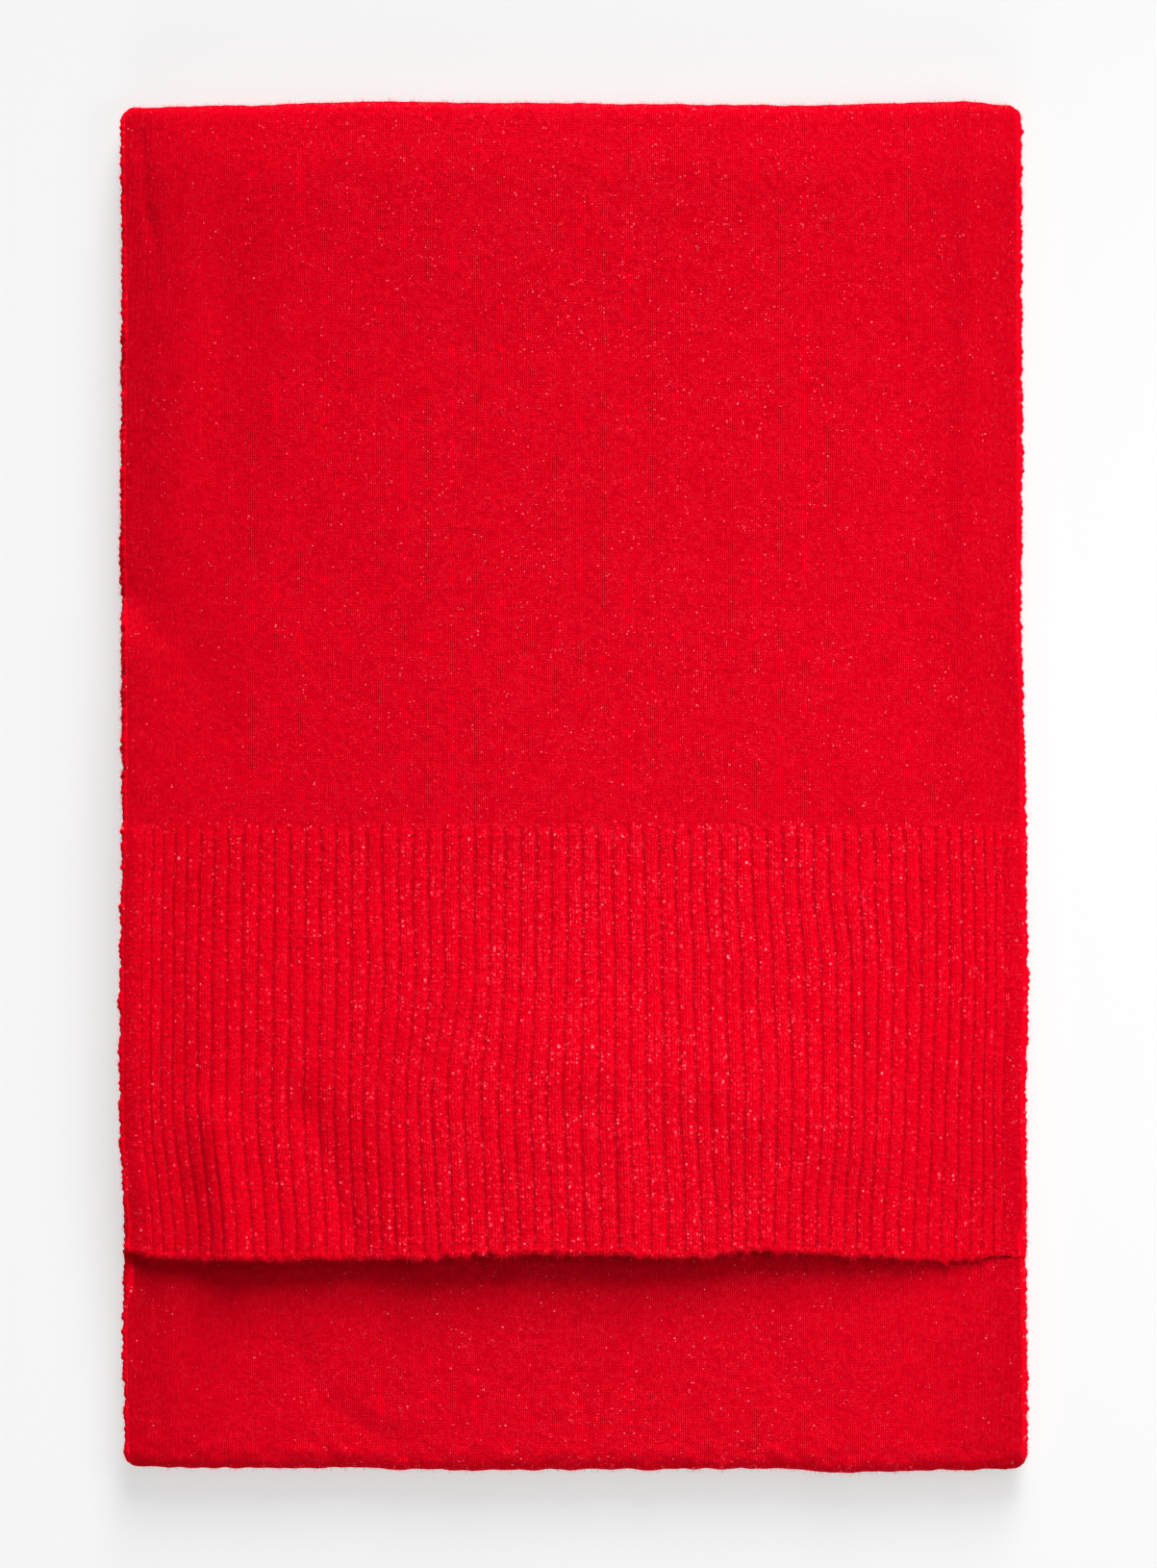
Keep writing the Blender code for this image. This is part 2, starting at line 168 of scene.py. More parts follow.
def softLine(table, at):
    # a curve through the rows of a table, level at each row
    rows = np.array(table)
    low = np.clip(np.searchsorted(rows[:, 0], at) - 1, 0, len(rows) - 2)
    share = ease((at - rows[low, 0]) / (rows[low + 1, 0] - rows[low, 0]))
    return rows[low, 1] + (rows[low + 1, 1] - rows[low, 1]) * share


def softNoise(a, b, size, seed):
    # smooth bumps of about this size, from -1 to 1
    turns = np.random.default_rng(seed).uniform(0, 2 * math.pi, (97, 89))
    a, b = np.broadcast_arrays(a / size, b / size)
    lowA, lowB = np.floor(a).astype(int), np.floor(b).astype(int)
    total = np.zeros(a.shape)
    for stepA in (0, 1):
        for stepB in (0, 1):
            turn = turns[(lowA + stepA) % 97, (lowB + stepB) % 89]
            pastA, pastB = a - lowA - stepA, b - lowB - stepB
            slope = np.cos(turn) * pastA + np.sin(turn) * pastB
            total += slope * ease(1 - np.abs(pastA)) * ease(1 - np.abs(pastB))
    return 1.5 * total


def layerFloor(layer):
    return layer * (pile["cloth"] + pile["gap"])


def foldForm(fold, x, y):
    # height of a ridge or trough, which rises over its first quarter and sinks over its last
    x, y = np.broadcast_arrays(np.asarray(x, float), np.asarray(y, float))
    line = np.array(fold["line"])
    nearest, flank, place = np.full(x.shape, np.inf), np.ones(x.shape), np.zeros(x.shape)
    for number, (start, end) in enumerate(zip(line, line[1:])):
        way = end - start
        share = np.clip(((x - start[0]) * way[0] + (y - start[1]) * way[1]) / (way @ way), 0, 1)
        offX, offY = x - start[0] - way[0] * share, y - start[1] - way[1] * share
        distance = np.hypot(offX, offY)
        closer = distance < nearest
        nearest = np.where(closer, distance, nearest)
        flank = np.where(closer, np.where(offX + offY < 0, *fold["flanks"]), flank)
        place = np.where(closer, (number + share) / (len(line) - 1), place)
    past = np.clip(nearest / flank, 0, 1)
    form = fold["sharp"] * (1 - past) ** 2 + (1 - fold["sharp"]) * (1 - ease(past))
    return fold["height"] * form * ease(4 * place) * ease(4 * (1 - place))


def looseLift(x, y):
    lift = softLine(looseEnd["lift"], y) * softLine(looseEnd["across"], x)
    for fold in looseFolds:
        lift = lift + foldForm(fold, x, y)
    return np.maximum(lift, 0.0)


def pileRise(x, y):
    # how far the top of the pile stands above or below its level
    rise = np.zeros(np.broadcast(x, y).shape)
    for side, form in edgeForms.items():
        fromEdge = (pile["halfWidth"] - side * x) / form["width"]
        rise = rise + softLine(form["rise"], y) * (1 - ease(fromEdge))
    rise = rise - topSlope["drop"] * ease((y - topSlope["from"]) / topSlope["length"])
    for fold in pileFolds:
        rise = rise + foldForm(fold, x, y)
    return rise


def cornerPress(x, y):
    pastX = (x - pressedCorner["x"]) / pressedCorner["halfWidth"]
    pastY = (y - pressedCorner["y"]) / pressedCorner["halfLength"]
    return pressedCorner["share"] * np.exp(-(pastX**2) - pastY**2)


def ribBend(x, y):
    rows = np.array(ribBends["shifts"])
    before, last, total = ribBends["start"], 0.0, 0.0
    for number, place in enumerate(ribBends["places"]):
        shift = softLine(rows[:, (0, number + 1)], x)
        total = total + (shift - last) * ease((before - y) / (before - place))
        before, last = place, shift
    return total


def nodeTree(name):
    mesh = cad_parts[name].data
    points = [vertex.co for vertex in mesh.vertices]
    return BVHTree.FromPolygons(points, [polygon.vertices for polygon in mesh.polygons])


# The real outline is read from the solids with rays from outside
trees = {name: nodeTree(name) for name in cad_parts}
probe = {"away": 0.30, "inset": 0.0085, "step": 0.0060, "foldEnds": 0.142, "rows": 72, "droop": 0.0010}


def sideLine(layer, side):
    # the selvedge of one layer as places along y and x
    low = pile["hem"] if layer == 3 else pile["bottomFold"]
    places, found = [], []
    for y in np.arange(low + probe["inset"], topFlat, probe["step"]):
        node = {3: "front_stretch", 2: "second_stretch"}.get(layer, "hidden_layers")
        if layer == 3 and y < pile["ribStart"]:
            node = "ribbed_end"
        z = layerFloor(layer) + pile["cloth"] / 2
        if layer == 3:
            z += float(looseLift(side * pile["halfWidth"], y))
        hit = trees[node].ray_cast(Vector((side * probe["away"], y, z)), Vector((-side, 0, 0)))
        if hit[0]:
            places.append(y)
            found.append(hit[0].x)
    return np.array(places), np.array(found)


def foldLine(node, z, way):
    # the nose of a fold, or the hem, as places along x and y
    places, found = [], []
    for x in np.linspace(-probe["foldEnds"], probe["foldEnds"], probe["rows"]):
        height = float(z(x)) if callable(z) else z
        hit = trees[node].ray_cast(Vector((x, -way * probe["away"], height)), Vector((0, way, 0)))
        if hit[0]:
            places.append(x)
            found.append(hit[0].y)
    return np.array(places), np.array(found)


def foldMiddle(upper):
    return (layerFloor(upper - 1) + layerFloor(upper) + pile["cloth"]) / 2


sides = {(layer, side): sideLine(layer, side) for layer in range(4) for side in (-1, 1)}
hemMiddle = layerFloor(3) + pile["cloth"] / 2
lines = {
    "top": foldLine("front_stretch", foldMiddle(3) - probe["droop"], -1),
    "bottom": foldLine("second_stretch", foldMiddle(2) - probe["droop"], 1),
    "hem": foldLine("ribbed_end", lambda x: hemMiddle + looseLift(x, pile["hem"]), 1),
}
print("outline read from the solids")


def valleyShares():
    rib = np.arange(gauge["ribs"])
    fromEdge = np.minimum(rib, gauge["ribs"] - 1 - rib) / gauge["edgeRibs"]
    widths = gauge["edgeShare"] + (1 - gauge["edgeShare"]) * np.minimum(fromEdge, 1)
    return np.concatenate(([0.0], np.cumsum(widths / widths.sum())))


valleys = valleyShares()


def waleNumber(x, left, right):
    # the stitch column at a place across, counted from the first valley
    first, last = left + gauge["plainEdge"], right - gauge["plainEdge"]
    share = (x - first) / (last - first)
    ribNumber = np.interp(share, valleys, np.arange(len(valleys)))
    beyond = (np.minimum(share, 0) + np.maximum(share - 1, 0)) / (valleys[1] - valleys[0])
    return (ribNumber + beyond) * gauge["walesPerRib"]


def layerEnds(layer):
    high = pile["topFold"] if layer > 1 else topFlat + pile["hiddenReach"]
    low = {3: pile["hem"], 0: bottomFlat}.get(layer, pile["bottomFold"])
    return low, high


def selvedges(layers, y):
    # left and right edge of each row, with round corners
    left, right = np.zeros(len(y)), np.zeros(len(y))
    radius = pile["cornerRadius"]
    for layer in np.unique(layers):
        here = layers == layer
        low, high = layerEnds(layer)
        past = np.maximum(y[here] - high + radius, low + radius - y[here])
        inset = radius - np.sqrt(radius**2 - np.clip(past, 0, radius) ** 2)
        left[here] = np.interp(y[here], *sides[layer, -1]) + inset
        right[here] = np.interp(y[here], *sides[layer, 1]) - inset
    return left, right


def edgeLumps(form, x, seed):
    return sum(height * softNoise(x, 0 * x + 0.4 * size, size, seed) for size, height in form["lumps"])


def hemScallops(x):
    hemEnds = [np.interp(pile["hem"], *sides[3, side]) for side in (-1, 1)]
    place = waleNumber(x, *hemEnds) / gauge["walesPerRib"]
    scallops = hemLine["ribEnds"] * np.cos(2 * math.pi * (place - 0.5)) + edgeLumps(hemLine, x, 24)
    return scallops + softLine(hemLine["waves"], x)


def waver(layers, x, y):
    # how far a point shifts along the length because folds and hem aren't straight
    shift = np.zeros(x.shape)
    for layer in np.unique(layers):
        here = layers == layer
        low = layerEnds(layer)[0]
        base = pile["hem"] if layer == 3 else pile["bottomFold"]
        topShare = 1 - ease((topFlat - y[here]) / pile["waverReach"])
        lowShare = 1 - ease((y[here] - low) / pile["waverReach"])
        shift[here] = (np.interp(x[here], *lines["top"]) - pile["topFold"]) * topShare
        lowLine = np.interp(x[here], *lines["hem" if layer == 3 else "bottom"])
        shift[here] += (lowLine - base) * lowShare
        nearTop = 1 - ease((topFlat + pile["foldReach"] - y[here]) / foldLumps["reach"])
        shift[here] += nearTop * (foldLumps["topRollOut"] + edgeLumps(foldLumps, x[here], 25))
        if layer in (1, 2):
            nearLow = 1 - ease((y[here] - pile["bottomFold"]) / foldLumps["reach"])
            shift[here] -= nearLow * (foldLumps["rollOut"] + edgeLumps(foldLumps, x[here], 26))
        if layer == 3:
            nearHem = 1 - ease((y[here] - low) / hemLine["reach"])
            shift[here] -= hemScallops(x[here]) * nearHem
    return shift


# Rows along the cloth: layer, inner y and z, outer y and z, and the way out
def flatRow(layer, y, up=1, share=1.0):
    middle = layerFloor(layer) + pile["cloth"] / 2
    half = up * share * pile["cloth"] / 2
    return [layer, y, middle - half, y, middle + half, 0, up]


def foldRows(flatY, outward, upper, reach, steps):
    # round a fold, from the upper layer down to the one below it
    low, high = layerFloor(upper - 1), layerFloor(upper) + pile["cloth"]
    middle = (low + high) / 2
    droop = pile["foldDroop"] / pile["foldReach"] if upper > 1 else 0.0
    rows = []
    for step in range(1, steps + 1):
        angle = math.pi * (0.5 - step / steps)
        past, rise = math.cos(angle), math.sin(angle)
        row = [upper if upper > 1 or rise > 0 else 0]
        for length, half, fullness in (
            (pile["innerReach"], pile["gap"] / 2, 2.0), (reach, high - middle, pile["foldFullness"]),
        ):
            ahead = length * abs(past) ** (2 / fullness)
            up = half * abs(rise) ** (2 / fullness) * (1 if rise > 0 else -1)
            row += [flatY + outward * ahead, middle - droop * ahead + up]
        rows.append(row + [outward * past, rise])
    return rows


def flatRows(layer, first, last, step, up=1):
    count = max(2, round(abs(last - first) / step) + 1)
    return [flatRow(layer, y, up) for y in np.linspace(first, last, count)]


def rowTable(stations, start=0.0):
    rows = np.array(stations, float)
    steps = np.hypot(np.diff(rows[:, 3]), np.diff(rows[:, 4]))
    return {
        "layer": rows[:, 0].astype(int),
        "inner": rows[:, 1:3],
        "outer": rows[:, 3:5],
        "out": rows[:, 5:7],
        "along": start + np.concatenate(([0.0], np.cumsum(steps))),
    }


def placed(rows, x, faceY, faceZ, height=0.0):
    # points of the flat pile, moved to where the cloth really lies
    x, faceY, faceZ = np.broadcast_arrays(x, faceY, faceZ)
    y = faceY + rows["out"][:, :1] * height
    z = faceZ + rows["out"][:, 1:] * height
    loose = rows["layer"][:, None] == 3
    z = z - np.where(loose, cornerPress(x, faceY) * (z - layerFloor(3) + pile["gap"]), 0.0)
    z = z + np.where(loose, looseLift(x, faceY), 0.0)
    z = z * (1 + pileRise(x, faceY) / stackTop)
    return np.stack((x, y + waver(rows["layer"], x, faceY), z), axis=-1)


# Lumps of the felted face, from small to large
feltLumps = (
    {"size": 0.0024, "height": 0.000045, "seed": 11},
    {"size": 0.0048, "height": 0.000060, "seed": 12},
    {"size": 0.0120, "height": 0.000070, "seed": 13},
    {"size": 0.0410, "height": 0.000200, "seed": 14},
)


def feltRelief(x, along):
    relief = np.zeros(np.broadcast(x, along).shape)
    for lump in feltLumps:
        relief += lump["height"] * softNoise(x, along, lump["size"], lump["seed"])
    return relief


def addNode(tree, kind, **settings):
    node = tree.nodes.new(kind)
    for key, value in settings.items():
        setattr(node, key, value)
    return node


def feed(tree, socket, value):
    # a socket takes a link or a plain value
    if isinstance(value, bpy.types.NodeSocket):
        tree.links.new(value, socket)
    else:
        socket.default_value = value


def fill(tree, node, values):
    for key, value in values.items():
        feed(tree, node.inputs[key], value)


def calc(tree, operation, *values):
    node = addNode(tree, "ShaderNodeMath", operation=operation)
    for socket, value in zip(node.inputs, values):
        feed(tree, socket, value)
    return node.outputs[0]


def times(tree, first, second):
    return calc(tree, "MULTIPLY", first, second)


def plus(tree, first, second):
    return calc(tree, "ADD", first, second)


def remap(tree, value, low, high, toLow=0.0, toHigh=1.0):
    node = addNode(tree, "ShaderNodeMapRange", interpolation_type="SMOOTHSTEP")
    for socket, given in zip(node.inputs, (value, low, high, toLow, toHigh)):
        feed(tree, socket, given)
    return node.outputs[0]


def noiseAt(tree, place, scale, detail, roughness=0.5):
    node = addNode(tree, "ShaderNodeTexNoise", noise_dimensions="3D")
    fill(tree, node, {"Vector": place, "Scale": scale, "Detail": detail, "Roughness": roughness})
    return node.outputs["Fac"]


def mixColours(tree, share, first, second):
    node = addNode(tree, "ShaderNodeMix", data_type="RGBA")
    fill(tree, node, {0: share, 6: first, 7: second})  # the factor and the two colours
    return node.outputs[2]


def newGroup(name, inputs, outputs):
    # a group of plain value and vector sockets; an input without a value is a vector
    group = bpy.data.node_groups.new(name, "ShaderNodeTree")
    for socketName, value in inputs.items():
        kind = "NodeSocketVector" if value is None else "NodeSocketFloat"
        socket = group.interface.new_socket(socketName, in_out="INPUT", socket_type=kind)
        if value is not None:
            socket.default_value = value
    for socketName in outputs:
        group.interface.new_socket(socketName, in_out="OUTPUT", socket_type="NodeSocketFloat")
    return group, addNode(group, "NodeGroupInput").outputs, addNode(group, "NodeGroupOutput").inputs


def knitStitchGroup():
    # two slanting legs to a stitch, in rows and columns that wander a little
    inputs = {"Stitches": None, "Wander": 0.5, "Slant": 0.9}
    group, taken, given = newGroup("knitStitch", inputs, ("Height", "Column"))
    split = addNode(group, "ShaderNodeSeparateXYZ")
    group.links.new(taken["Stitches"], split.inputs[0])
    wander = calc(group, "SUBTRACT", noiseAt(group, taken["Stitches"], 0.11, 2.0), 0.5)
    wander = times(group, wander, taken["Wander"])
    column = calc(group, "FRACT", plus(group, split.outputs["X"], wander))
    fromMiddle = calc(group, "ABSOLUTE", calc(group, "SUBTRACT", column, 0.5))
    fromMiddle = times(group, fromMiddle, 2.0)
    leg = calc(group, "SINE", times(group, fromMiddle, math.pi))
    leg = calc(group, "POWER", calc(group, "MAXIMUM", leg, 0.0), 0.7)
    slanted = times(group, fromMiddle, taken["Slant"])
    slanted = plus(group, plus(group, split.outputs["Y"], wander), slanted)
    turn = calc(group, "ABSOLUTE", calc(group, "SINE", times(group, slanted, math.pi)))
    turnShare = 0.55  # of the height of a leg
    bulge = times(group, calc(group, "POWER", turn, 0.6), turnShare)
    bulge = plus(group, bulge, 1 - turnShare)
    group.links.new(times(group, leg, bulge), given["Height"])
    group.links.new(calc(group, "SUBTRACT", 1.0, fromMiddle), given["Column"])
    return group


def woolNapGroup():
    # the felted nap as height, and its light and dark places
    inputs = {"Place": None, "Grain": 1500.0, "Tufts": 520.0, "Clouds": 95.0}
    group, taken, given = newGroup("woolNap", inputs, ("Height", "Mottle", "Grain"))
    grain = noiseAt(group, taken["Place"], taken["Grain"], 2.0, 0.6)
    tufts = noiseAt(group, taken["Place"], taken["Tufts"], 2.0)
    clouds = noiseAt(group, taken["Place"], taken["Clouds"], 3.0, 0.55)
    tuftShare = 0.55  # of the height of the nap
    height = times(group, grain, 1 - tuftShare)
    height = plus(group, height, times(group, tufts, tuftShare))
    group.links.new(height, given["Height"])
    group.links.new(remap(group, clouds, 0.30, 0.70), given["Mottle"])
    group.links.new(remap(group, tufts, 0.30, 0.72), given["Grain"])
    return group


def paleFleckGroup():
    # ends of pale fibres caught in the nap: scattered dots, looser and denser from place to place
    inputs = {"Place": None, "Per Metre": 420.0, "Size": 0.22, "Share": 0.4}
    group, taken, given = newGroup("paleFleck", inputs, ("Mask",))
    cell = addNode(group, "ShaderNodeTexVoronoi", voronoi_dimensions="3D", feature="F1")
    fill(group, cell, {"Vector": taken["Place"], "Scale": taken["Per Metre"]})
    chance = addNode(group, "ShaderNodeSeparateColor")
    group.links.new(cell.outputs["Color"], chance.inputs[0])
    crowd = remap(group, noiseAt(group, taken["Place"], 85.0, 1.0), 0.32, 0.68, 0.45, 1.6)
    here = calc(group, "LESS_THAN", chance.outputs[0], times(group, taken["Share"], crowd))
    size = times(group, taken["Size"], plus(group, chance.outputs[1], 0.55))
    dot = remap(group, cell.outputs["Distance"], times(group, size, 0.35), size, 1.0, 0.0)
    strength = plus(group, times(group, chance.outputs[2], 0.65), 0.35)
    mask = times(group, times(group, dot, here), strength)
    group.links.new(mask, given["Mask"])
    return group


groups = {"knit": knitStitchGroup(), "nap": woolNapGroup(), "fleck": paleFleckGroup()}

# Colours of the yarn, linear
yarn = {
    "red": (0.760, 0.0004, 0.0115, 1.0),
    "deep": (0.600, 0.0002, 0.0082, 1.0),
    "bright": (0.880, 0.0160, 0.0420, 1.0),
    "pale": (0.980, 0.1700, 0.2100, 1.0),
    "sheenTint": (1.0, 0.012, 0.030, 1.0),
}
# Pale fibres thin out to both sides of a line a little right of the middle: partly where they really lie,
# partly painted shade that darkens the sides
paleAndShadeLine = {"x": 0.02, "reach": 0.16}


def placeGroup(tree, kind, values):
    node = addNode(tree, "ShaderNodeGroup", node_tree=groups[kind])
    fill(tree, node, values)
    return node.outputs


def woolShader(name, look):
    material = bpy.data.materials.new(name)
    material.use_nodes = True
    tree = material.node_tree
    shader = tree.nodes["Principled BSDF"]
    fill(tree, shader, {
        "Roughness": look["roughness"], "Specular IOR Level": look["specular"],
        "Sheen Weight": look["sheen"], "Sheen Roughness": look["sheenRoughness"],
        "Sheen Tint": yarn["sheenTint"],
    })
    return material, tree, shader


def palerBy(tree, paleness, colour):
    # bright red at a half, and pale at 1
    colour = mixColours(tree, remap(tree, paleness, 0.0, 0.5), colour, yarn["bright"])
    return mixColours(tree, remap(tree, paleness, 0.5, 1.0), colour, yarn["pale"])


def finishWool(tree, shader, colour, height, millimetres=1.0):
    # heights are in millimetres, or in shares of the millimetres given
    bump = addNode(tree, "ShaderNodeBump")
    fill(tree, bump, {"Distance": millimetres / 1000, "Height": height})
    fill(tree, shader, {"Normal": bump.outputs[0], "Base Color": colour})


def knitMaterial(name, look):
    material, tree, shader = woolShader(name, look)
    place = addNode(tree, "ShaderNodeTexCoord").outputs["Object"]
    nap = placeGroup(tree, "nap", {"Place": place})
    height = times(tree, nap["Height"], look["napHeight"])
    # mottle is tone that differs at random; depth is a fixed mix towards deep red, painted shade that makes
    # the ribbed and selvedge wool darker copies of the plain yarn
    deepness = calc(tree, "MULTIPLY_ADD", nap["Mottle"], look["mottle"], look["depth"])
    colour = mixColours(tree, deepness, yarn["red"], yarn["deep"])
    # painted shade: the colour darkens towards deep red in the low places of the nap and between the stitch
    # columns
    paintedShade = remap(tree, nap["Height"], 0.36, 0.54, look["paintedHollowShade"], 0.0)
    paleness = times(tree, nap["Grain"], look["grain"])
    across = addNode(tree, "ShaderNodeSeparateXYZ")
    tree.links.new(place, across.inputs[0])
    across = calc(tree, "ABSOLUTE", calc(tree, "SUBTRACT", across.outputs["X"], paleAndShadeLine["x"]))
    # fewer pale flecks towards the sides: partly real, partly painted shade
    fleckAndShadeThinning = remap(tree, across, 0.0, paleAndShadeLine["reach"], look["middleFlecks"], look["sideFlecks"])
    if look["knitHeight"]:
        stitches = addNode(tree, "ShaderNodeVectorMath", operation="MULTIPLY")
        stitchPlace = addNode(tree, "ShaderNodeUVMap", uv_map="stitches").outputs[0]
        fill(tree, stitches, {0: stitchPlace, 1: (1.0, look["rowScale"], 1.0)})
        knit = placeGroup(tree, "knit", {"Stitches": stitches.outputs[0], "Wander": look["wander"]})
        height = plus(tree, height, times(tree, knit["Height"], look["knitHeight"]))
        paintedShade = plus(tree, paintedShade, remap(tree, knit["Height"], 0.0, 0.6, look["paintedStitchShade"], 0.0))
        # pale fibre on the tops of the stitch legs, partly real and partly painted highlight where light
        # catches the raised stitches
        stitchTopPaleAndHighlight = times(tree, remap(tree, knit["Height"], 0.60, 0.95), nap["Grain"])
        stitchTopPaleAndHighlight = times(tree, stitchTopPaleAndHighlight, times(tree, fleckAndShadeThinning, look["stitchTopPaleAndHighlight"]))
        paleness = plus(tree, paleness, stitchTopPaleAndHighlight)
        onColumn = remap(tree, knit["Column"], 0.15, 0.70, 1.0 - look["gather"], 1.0)
    for fleckLook in look["flecks"]:
        values = {"Place": place, "Per Metre": fleckLook["Per Metre"], "Size": fleckLook["Size"]}
        values["Share"] = times(tree, fleckAndShadeThinning, fleckLook["Share"])
        strength = times(tree, placeGroup(tree, "fleck", values)["Mask"], fleckLook["strength"])
        if look["knitHeight"]:
            strength = times(tree, strength, onColumn)  # fewer between the stitch columns
        paleness = plus(tree, paleness, strength)
    # the painted shade of hollows and stitch gaps goes into the colour here
    colour = mixColours(tree, calc(tree, "MINIMUM", paintedShade, 1.0), colour, yarn["deep"])
    finishWool(tree, shader, palerBy(tree, paleness, colour), height)
    return material


def fibreMaterial(name, look):
    # each fibre has its own shade, from deep red over bright red to pale
    material, tree, shader = woolShader(name, look)
    split = addNode(tree, "ShaderNodeSeparateXYZ")
    tree.links.new(addNode(tree, "ShaderNodeUVMap", uv_map="shade").outputs[0], split.inputs[0])
    colour = palerBy(tree, split.outputs[0], yarn["deep"])
    along = noiseAt(tree, addNode(tree, "ShaderNodeTexCoord").outputs["Object"], look["grain"], 2.0)
    colour = mixColours(tree, remap(tree, along, 0.35, 0.65, 0.0, look["unevenness"]), colour, yarn["deep"])
    finishWool(tree, shader, colour, along, look["napHeight"])
    return material


# Heights are in millimetres
plainLook = {
    "roughness": 0.95, "specular": 0.0, "sheen": 0.20, "sheenRoughness": 0.45, "mottle": 0.22,
    "napHeight": 0.60, "paintedHollowShade": 0.60, "knitHeight": 0.28, "paintedStitchShade": 0.34, "wander": 0.5,
    "depth": 0.0, "gather": 0.3, "grain": 0.04, "stitchTopPaleAndHighlight": 0.14, "rowScale": 1.0,
    "middleFlecks": 1.2, "sideFlecks": 0.6,
    "flecks": (
        {"Per Metre": 1500.0, "Size": 0.36, "Share": 0.26, "strength": 0.50},
        {"Per Metre": 1300.0, "Size": 0.34, "Share": 0.075, "strength": 1.10},
        {"Per Metre": 1100.0, "Size": 0.32, "Share": 0.014, "strength": 2.10},
    ),
}
# the ribbed wool's depth darkens its whole colour: painted shade
ribLook = plainLook | {
    "knitHeight": 0.17, "paintedStitchShade": 0.20, "wander": 0.3, "mottle": 0.28, "depth": 0.60,
    "napHeight": 0.80, "gather": 0.85, "stitchTopPaleAndHighlight": 0.18, "rowScale": 0.62,
    "middleFlecks": 1.15, "sideFlecks": 0.45,
    "flecks": (
        {"Per Metre": 700.0, "Size": 0.44, "Share": 0.52, "strength": 0.60},
        {"Per Metre": 950.0, "Size": 0.42, "Share": 0.12, "strength": 1.00},
        {"Per Metre": 800.0, "Size": 0.40, "Share": 0.026, "strength": 1.70},
    ),
}
selvedgeLook = ribLook | {"knitHeight": 0.0, "napHeight": 0.30, "depth": 0.10}
fibreLook = {
    "roughness": 0.9, "specular": 0.0, "sheen": 0.20, "sheenRoughness": 0.4,
    "napHeight": 0.04, "grain": 900.0, "unevenness": 0.3,
}
plainWool = knitMaterial("plainKnitWool", plainLook)
ribWool = knitMaterial("ribbedKnitWool", ribLook)
selvedgeWool = knitMaterial("selvedgeWool", selvedgeLook)
fibreWool = fibreMaterial("looseFibreWool", fibreLook)
print("materials made")


def meshPiece(name, points, faces, uvSets, material):
    mesh = bpy.data.meshes.new(name)
    mesh.from_pydata(points.reshape(-1, 3).tolist(), [], faces)
    for uvName, corners in uvSets.items():
        layer = mesh.uv_layers.new(name=uvName)
        layer.data.foreach_set("uv", np.ascontiguousarray(corners, np.float32).ravel())
    mesh.shade_smooth()
    mesh.set_sharp_from_angle(angle=math.radians(80))
    mesh.materials.append(material)
    piece = bpy.data.objects.new(name, mesh)
    bpy.context.scene.collection.objects.link(piece)
    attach(piece, "root")
    mesh.calc_loop_triangles()
    print(name, "has", len(mesh.loop_triangles), "triangles")
    return piece


def gridCells(grid):
    # the four corners of each cell of a grid, one cell to a row
    cells = np.stack((grid[:-1, :-1], grid[:-1, 1:], grid[1:, 1:], grid[1:, :-1]), axis=2)
    return cells.reshape((-1, 4) + grid.shape[2:])


def endCells(outerCount, lipCount, innerCount):
    # cells that close the end of a loop of outer face, right lip, inner face and left lip
    ratio = (outerCount - 1) // (innerCount - 1)
    firstInner = outerCount + lipCount
    lastInner = firstInner + innerCount - 1
    cells = [list(range(outerCount - 1 - ratio, firstInner + 2))]
    for place in range(1, innerCount - 2):
        outer = list(range(place * ratio, (place + 1) * ratio + 1))
        cells.append(outer + [lastInner - place - 1, lastInner - place])
    cells.append(list(range(lastInner - 1, lastInner + 1 + lipCount)) + list(range(ratio + 1)))
    return cells


cellCorners = np.array(((0, 0), (1, 0), (1, 1), (0, 1)))
# How a shell's faces are laid out on its bake sheet, as shares of it
sheetLayout = {"face": 0.70, "across": 0.995, "rows": 0.95, "endRows": (0.965, 0.985), "endDepth": 0.012}
lipAngles = np.radians((72, 48, 24, 0, -24, -48, -72))
skins = {}  # the outer face of each shell, for the fibres that grow on it


